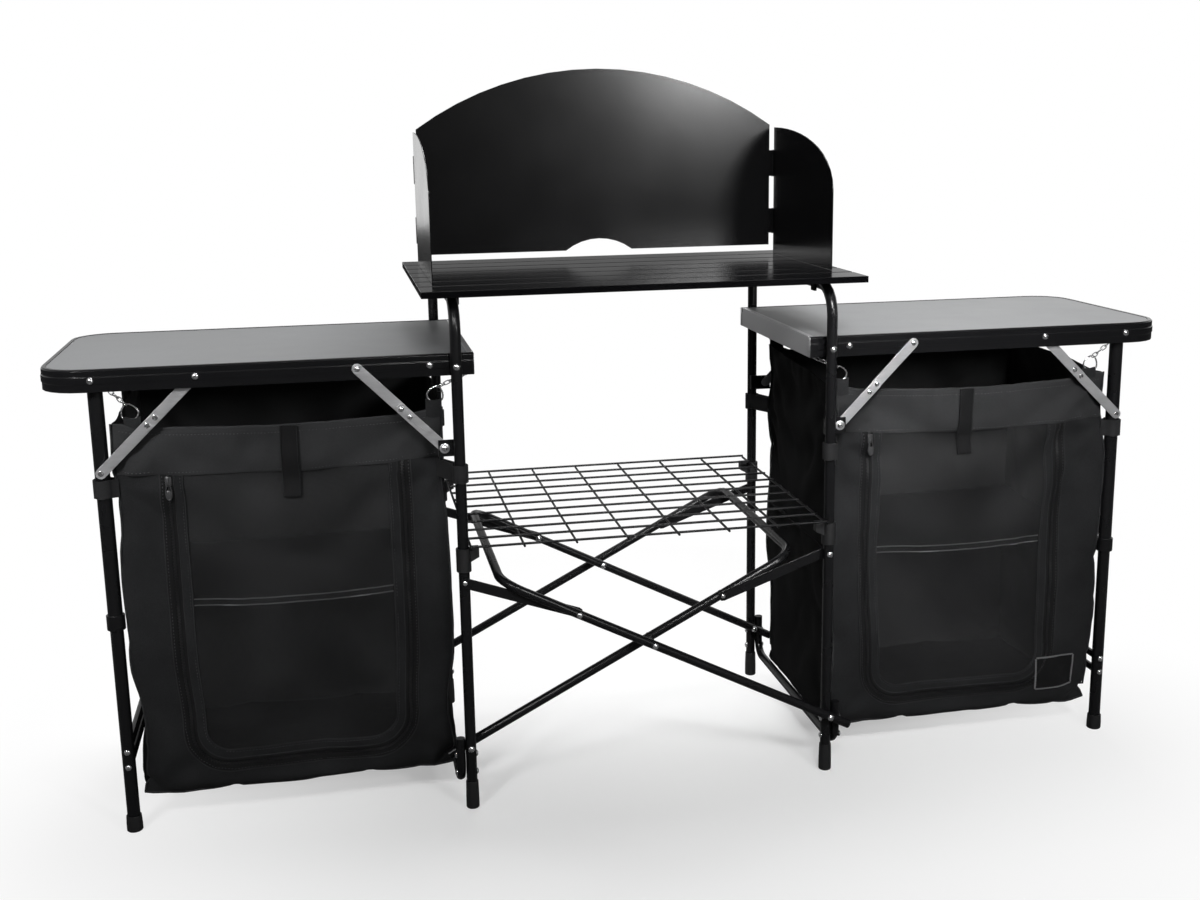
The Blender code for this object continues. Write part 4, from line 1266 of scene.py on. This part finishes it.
def hook_set(bag):
    """Each top corner hangs from an egg-shaped ring on a small chain under the table."""
    steel = bmesh.new()
    ears = bmesh.new()
    for end in ENDS:
        for ring_at, anchor_at, anchor_y in HOOKS:
            ring_x = bag.side * ring_at
            anchor_x = bag.side * anchor_at
            hem = bag.front(ring_x, BAG_TOP, 0.0, end)
            low = hem + Vector((0, 0, 0.010))
            lean = math.copysign(RING_LEAN, anchor_x - ring_x)
            up = Vector((math.sin(lean), 0, math.cos(lean)))
            across = Vector((math.cos(lean), 0, -math.sin(lean)))
            ring = []
            for angle in turns(32):
                lift = (math.sin(angle) + 1) / 2
                wide = RING_HALF_W * (1 - 0.42 * lift)
                ring.append(low + across * math.cos(angle) * wide + up * lift * RING_TALL)
            wire(steel, ring, 0.0014, 8, closed=True)
            stop = Vector((anchor_x, end * anchor_y, RIM_UNDER + 0.001))
            chain(steel, low + up * (RING_TALL - 0.0015), stop)
            ear(ears, hem, low, end)
    hooks = bag.piece("hooks", steel, "bright", 60, "bare_aluminium")
    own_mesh(hooks)
    bag.piece("ears", ears, "cloth")


def chain(bm, start, stop):
    """Small oval links from start to stop, each turned a quarter from the last."""
    run = stop - start
    direction = run.normalized()
    side = direction.orthogonal().normalized()
    other = direction.cross(side)
    count = max(2, round(run.length / 0.011))
    pitch = run.length / count
    half_w = 0.0032
    for n in range(count):
        centre = start + direction * pitch * (n + 0.5)
        wide = side if n % 2 else other
        oval = []
        for angle in turns(16):
            forward = direction * math.cos(angle) * pitch * 0.66
            oval.append(centre + forward + wide * math.sin(angle) * half_w)
        wire(bm, oval, 0.0009, 6, closed=True)


def ear(bm, hem, low, end):
    """A folded cloth tab from inside the bag's top hem, over the ring's foot and down the outside."""
    base = hem - Vector((0, 0, 0.016))
    outer = ((base.y, 0.0034, base.z), (low.y, 0.0036, low.z - 0.0010), (low.y, 0.0026, low.z + 0.0030))
    inner = ((base.y, 0.0022, base.z), (low.y, 0.0022, low.z - 0.0010))
    outline = [(y + end * aside, z) for y, aside, z in outer]
    outline.append((low.y, low.z + 0.0042))
    outline += [(y - end * aside, z) for y, aside, z in reversed(outer)]
    outline += [(y - end * aside, z) for y, aside, z in inner]
    outline.append((low.y, low.z + 0.0022))
    outline += [(y + end * aside, z) for y, aside, z in reversed(inner)]
    half = RING_HALF_W * 0.80
    stations = []
    for n in range(7):
        t = n / 6
        x = low.x - half + 2 * half * t
        dip = 0.0012 * math.cos(2 * math.pi * t)
        stations.append([(x, y, z + dip) for y, z in outline])
    sweep(bm, stations)


def make_bag(label, side):
    bag = Bag(label, side)
    drape_cloth(bag, 1.0 if side < 0 else 2.0)
    for part in (bag_shell, bag_netting, bag_shelf, bag_door, zip_teeth, bag_bands, bag_stitching, bag_tab):
        part(bag)
    zip_puller(bag)
    if side > 0:
        bag_patch(bag)
    bag_straps(bag)
    hook_set(bag)
    for obj in list(bpy.context.scene.objects):
        if obj.name.startswith(f"{label}_bag_") and not obj.name.endswith("hooks"):
            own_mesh(obj)


# Camera, lights, world and floor.


def make_camera():
    cos_pitch = math.cos(CAMERA_PITCH)
    level = Vector((math.cos(CAMERA_YAW), math.sin(CAMERA_YAW), 0))
    ahead = Vector((-math.sin(CAMERA_YAW), math.cos(CAMERA_YAW), 0))
    forward = ahead * cos_pitch + Vector((0, 0, math.sin(CAMERA_PITCH)))
    above = level.cross(forward)
    cos_roll = math.cos(CAMERA_ROLL)
    sin_roll = math.sin(CAMERA_ROLL)
    right = level * cos_roll + above * sin_roll
    up = above * cos_roll - level * sin_roll
    data = bpy.data.cameras.new("camera")
    data.lens = CAMERA_LENS
    data.sensor_width = 36
    data.shift_x, data.shift_y = CAMERA_SHIFT
    data.clip_end = 60
    camera = add_object("camera", data)
    camera.matrix_world = axes_at(CAMERA_PLACE, right, up, -forward)
    bpy.context.scene.camera = camera


def softbox(name, place, target, width, height, power, spread=180):
    """A rectangular lamp at a place, aimed at a target."""
    data = bpy.data.lights.new(name, "AREA")
    data.shape = "RECTANGLE"
    data.size = width
    data.size_y = height
    data.energy = power
    data.spread = math.radians(spread)
    lamp = add_object(name, data)
    lamp.matrix_world = along(place, Vector(place) - Vector(target))
    lamp.visible_camera = False


def make_lights():
    softbox("overhead", (0.1, 0.55, 3.2), (0.0, 0.05, 0.4), 2.2, 1.2, 58)
    softbox("key_left", (-1.95, -2.15, 2.4), (-0.88, 0, 0.75), 0.7, 0.7, 4.2, spread=32)
    softbox("key_right", (0.0, -2.6, 2.5), (0.40, 0, 0.80), 0.7, 0.7, 6.6, spread=32)
    softbox("side", (1.08, -2.9, 1.56), (0.2, 0.2, 1.2), 0.42, 0.5, 29)
    softbox("rear", (0.7, 3.0, 3.5), (0.0, 0.0, 0.6), 1.6, 1.2, 40)


def world_shades(tree):
    """What polished surfaces see: dim in front, pale cards low on the left and wide on the right behind."""
    direction = add_node(tree, "ShaderNodeTexCoord").outputs["Generated"]
    parts = add_node(tree, "ShaderNodeSeparateXYZ", {"Vector": direction})

    def share(axis, high, start, end):
        return ranged(tree, parts.outputs[axis], 0.0, high, start, end, interpolation_type="SMOOTHSTEP")

    behind = share("Y", 1.0, -0.1, 0.5)
    west = share("X", 1.0, 0.05, -0.04)
    low = share("Z", 0.66, 0.10, 0.03)
    east = share("X", 0.78, 0.22, 0.48)
    cards = combine(tree, "MULTIPLY", west, combine(tree, "ADD", low, 0.27))
    cards = combine(tree, "ADD", cards, east)
    cards = combine(tree, "ADD", cards, 0.12)
    return combine(tree, "ADD", combine(tree, "MULTIPLY", behind, cards), 0.13)


def make_world():
    """White behind the object, with softer shades for reflections and for the light on the object."""
    white = (1, 1, 1, 1)
    world = bpy.data.worlds.new("studio")
    bpy.context.scene.world = world
    world.use_nodes = True
    tree = world.node_tree
    shown = tree.nodes["Background"]
    connect(tree, shown, {"Color": white, "Strength": 1.0})
    ambient = add_node(tree, "ShaderNodeBackground", {"Color": white, "Strength": 0.11})
    reflected = add_node(tree, "ShaderNodeBackground", {"Color": world_shades(tree), "Strength": 1.0})
    rays = add_node(tree, "ShaderNodeLightPath")
    current = ambient.outputs["Background"]
    for ray, background in (("Glossy", reflected), ("Transmission", shown), ("Camera", shown)):
        sockets = {"Fac": rays.outputs[f"Is {ray} Ray"], 1: current, 2: background.outputs["Background"]}
        current = add_node(tree, "ShaderNodeMixShader", sockets).outputs["Shader"]
    connect(tree, tree.nodes["World Output"], {"Surface": current})


def floor_material():
    """Pale where the object's shadow falls, white farther out, and dimmer as a light source. Behind the
    object the floor glows white, painted light that hides the shadows the lamps cast there.
    """
    white = (1, 1, 1, 1)
    material, tree, shader = new_material("pale_floor", (0.66, 0.66, 0.66), 0.9, specular=0.0)
    place = add_node(tree, "ShaderNodeTexCoord").outputs["Object"]
    length = add_node(tree, "ShaderNodeVectorMath", {0: place}, operation="LENGTH")
    far = ranged(tree, length.outputs["Value"], 0.0, 1.0, 0.35, 1.30)
    parts = add_node(tree, "ShaderNodeSeparateXYZ", {"Vector": place})
    # Painted light: from just behind the object back, the floor glows white over the lamps' shadows.
    behind = ranged(tree, parts.outputs["Y"], 0.0, 0.9, -0.05, 0.25)
    fade = combine(tree, "MAXIMUM", far, behind)
    plain = add_node(tree, "ShaderNodeEmission", {"Color": white}).outputs["Emission"]
    glow = add_node(tree, "ShaderNodeEmission", {"Color": white, "Strength": 0.36}).outputs["Emission"]
    lit = add_node(tree, "ShaderNodeAddShader", {0: shader.outputs["BSDF"], 1: glow}).outputs["Shader"]
    seen = add_node(tree, "ShaderNodeMixShader", {"Fac": fade, 1: lit, 2: plain}).outputs["Shader"]
    bounce = add_node(tree, "ShaderNodeBsdfDiffuse", {"Color": (0.22, 0.22, 0.22, 1)}).outputs["BSDF"]
    camera_ray = add_node(tree, "ShaderNodeLightPath").outputs["Is Camera Ray"]
    final = add_node(tree, "ShaderNodeMixShader", {"Fac": camera_ray, 1: bounce, 2: seen})
    connect(tree, tree.nodes["Material Output"], {"Surface": final.outputs["Shader"]})
    return material


def make_floor():
    """A pale floor that keeps the shadow near the object and fades into the white beyond it."""
    bm = bmesh.new()
    bmesh.ops.create_grid(bm, x_segments=1, y_segments=1, size=14)
    floor = add_object("floor", finished("floor", bm))
    floor.location = (0, 0, -FLOOR_GAP)
    floor.data.materials.append(floor_material())


def make_metal(label, side):
    """The rivets and bare metal on one side."""
    frame_rivets(label, side)
    link_rivets(label, side)
    table_rivets(label, side)
    strut_rivets(label)
    outer_strut_rivets(label)
    strut_washers(label)
    rim_ends(label, side)
    outer_leg_rivets(label)
    brace_rivets(f"brace_leaning_{label}", side)


def main():
    bpy.context.scene.view_settings.view_transform = "Standard"
    MATERIALS.update(make_materials())
    for name, obj in NODES.items():
        finish_node(name, obj)
    for label, side in SIDES.items():
        make_metal(label, side)
        make_bag(label, side)
    make_camera()
    make_lights()
    make_world()
    make_floor()
    bpy.context.view_layer.update()


main()
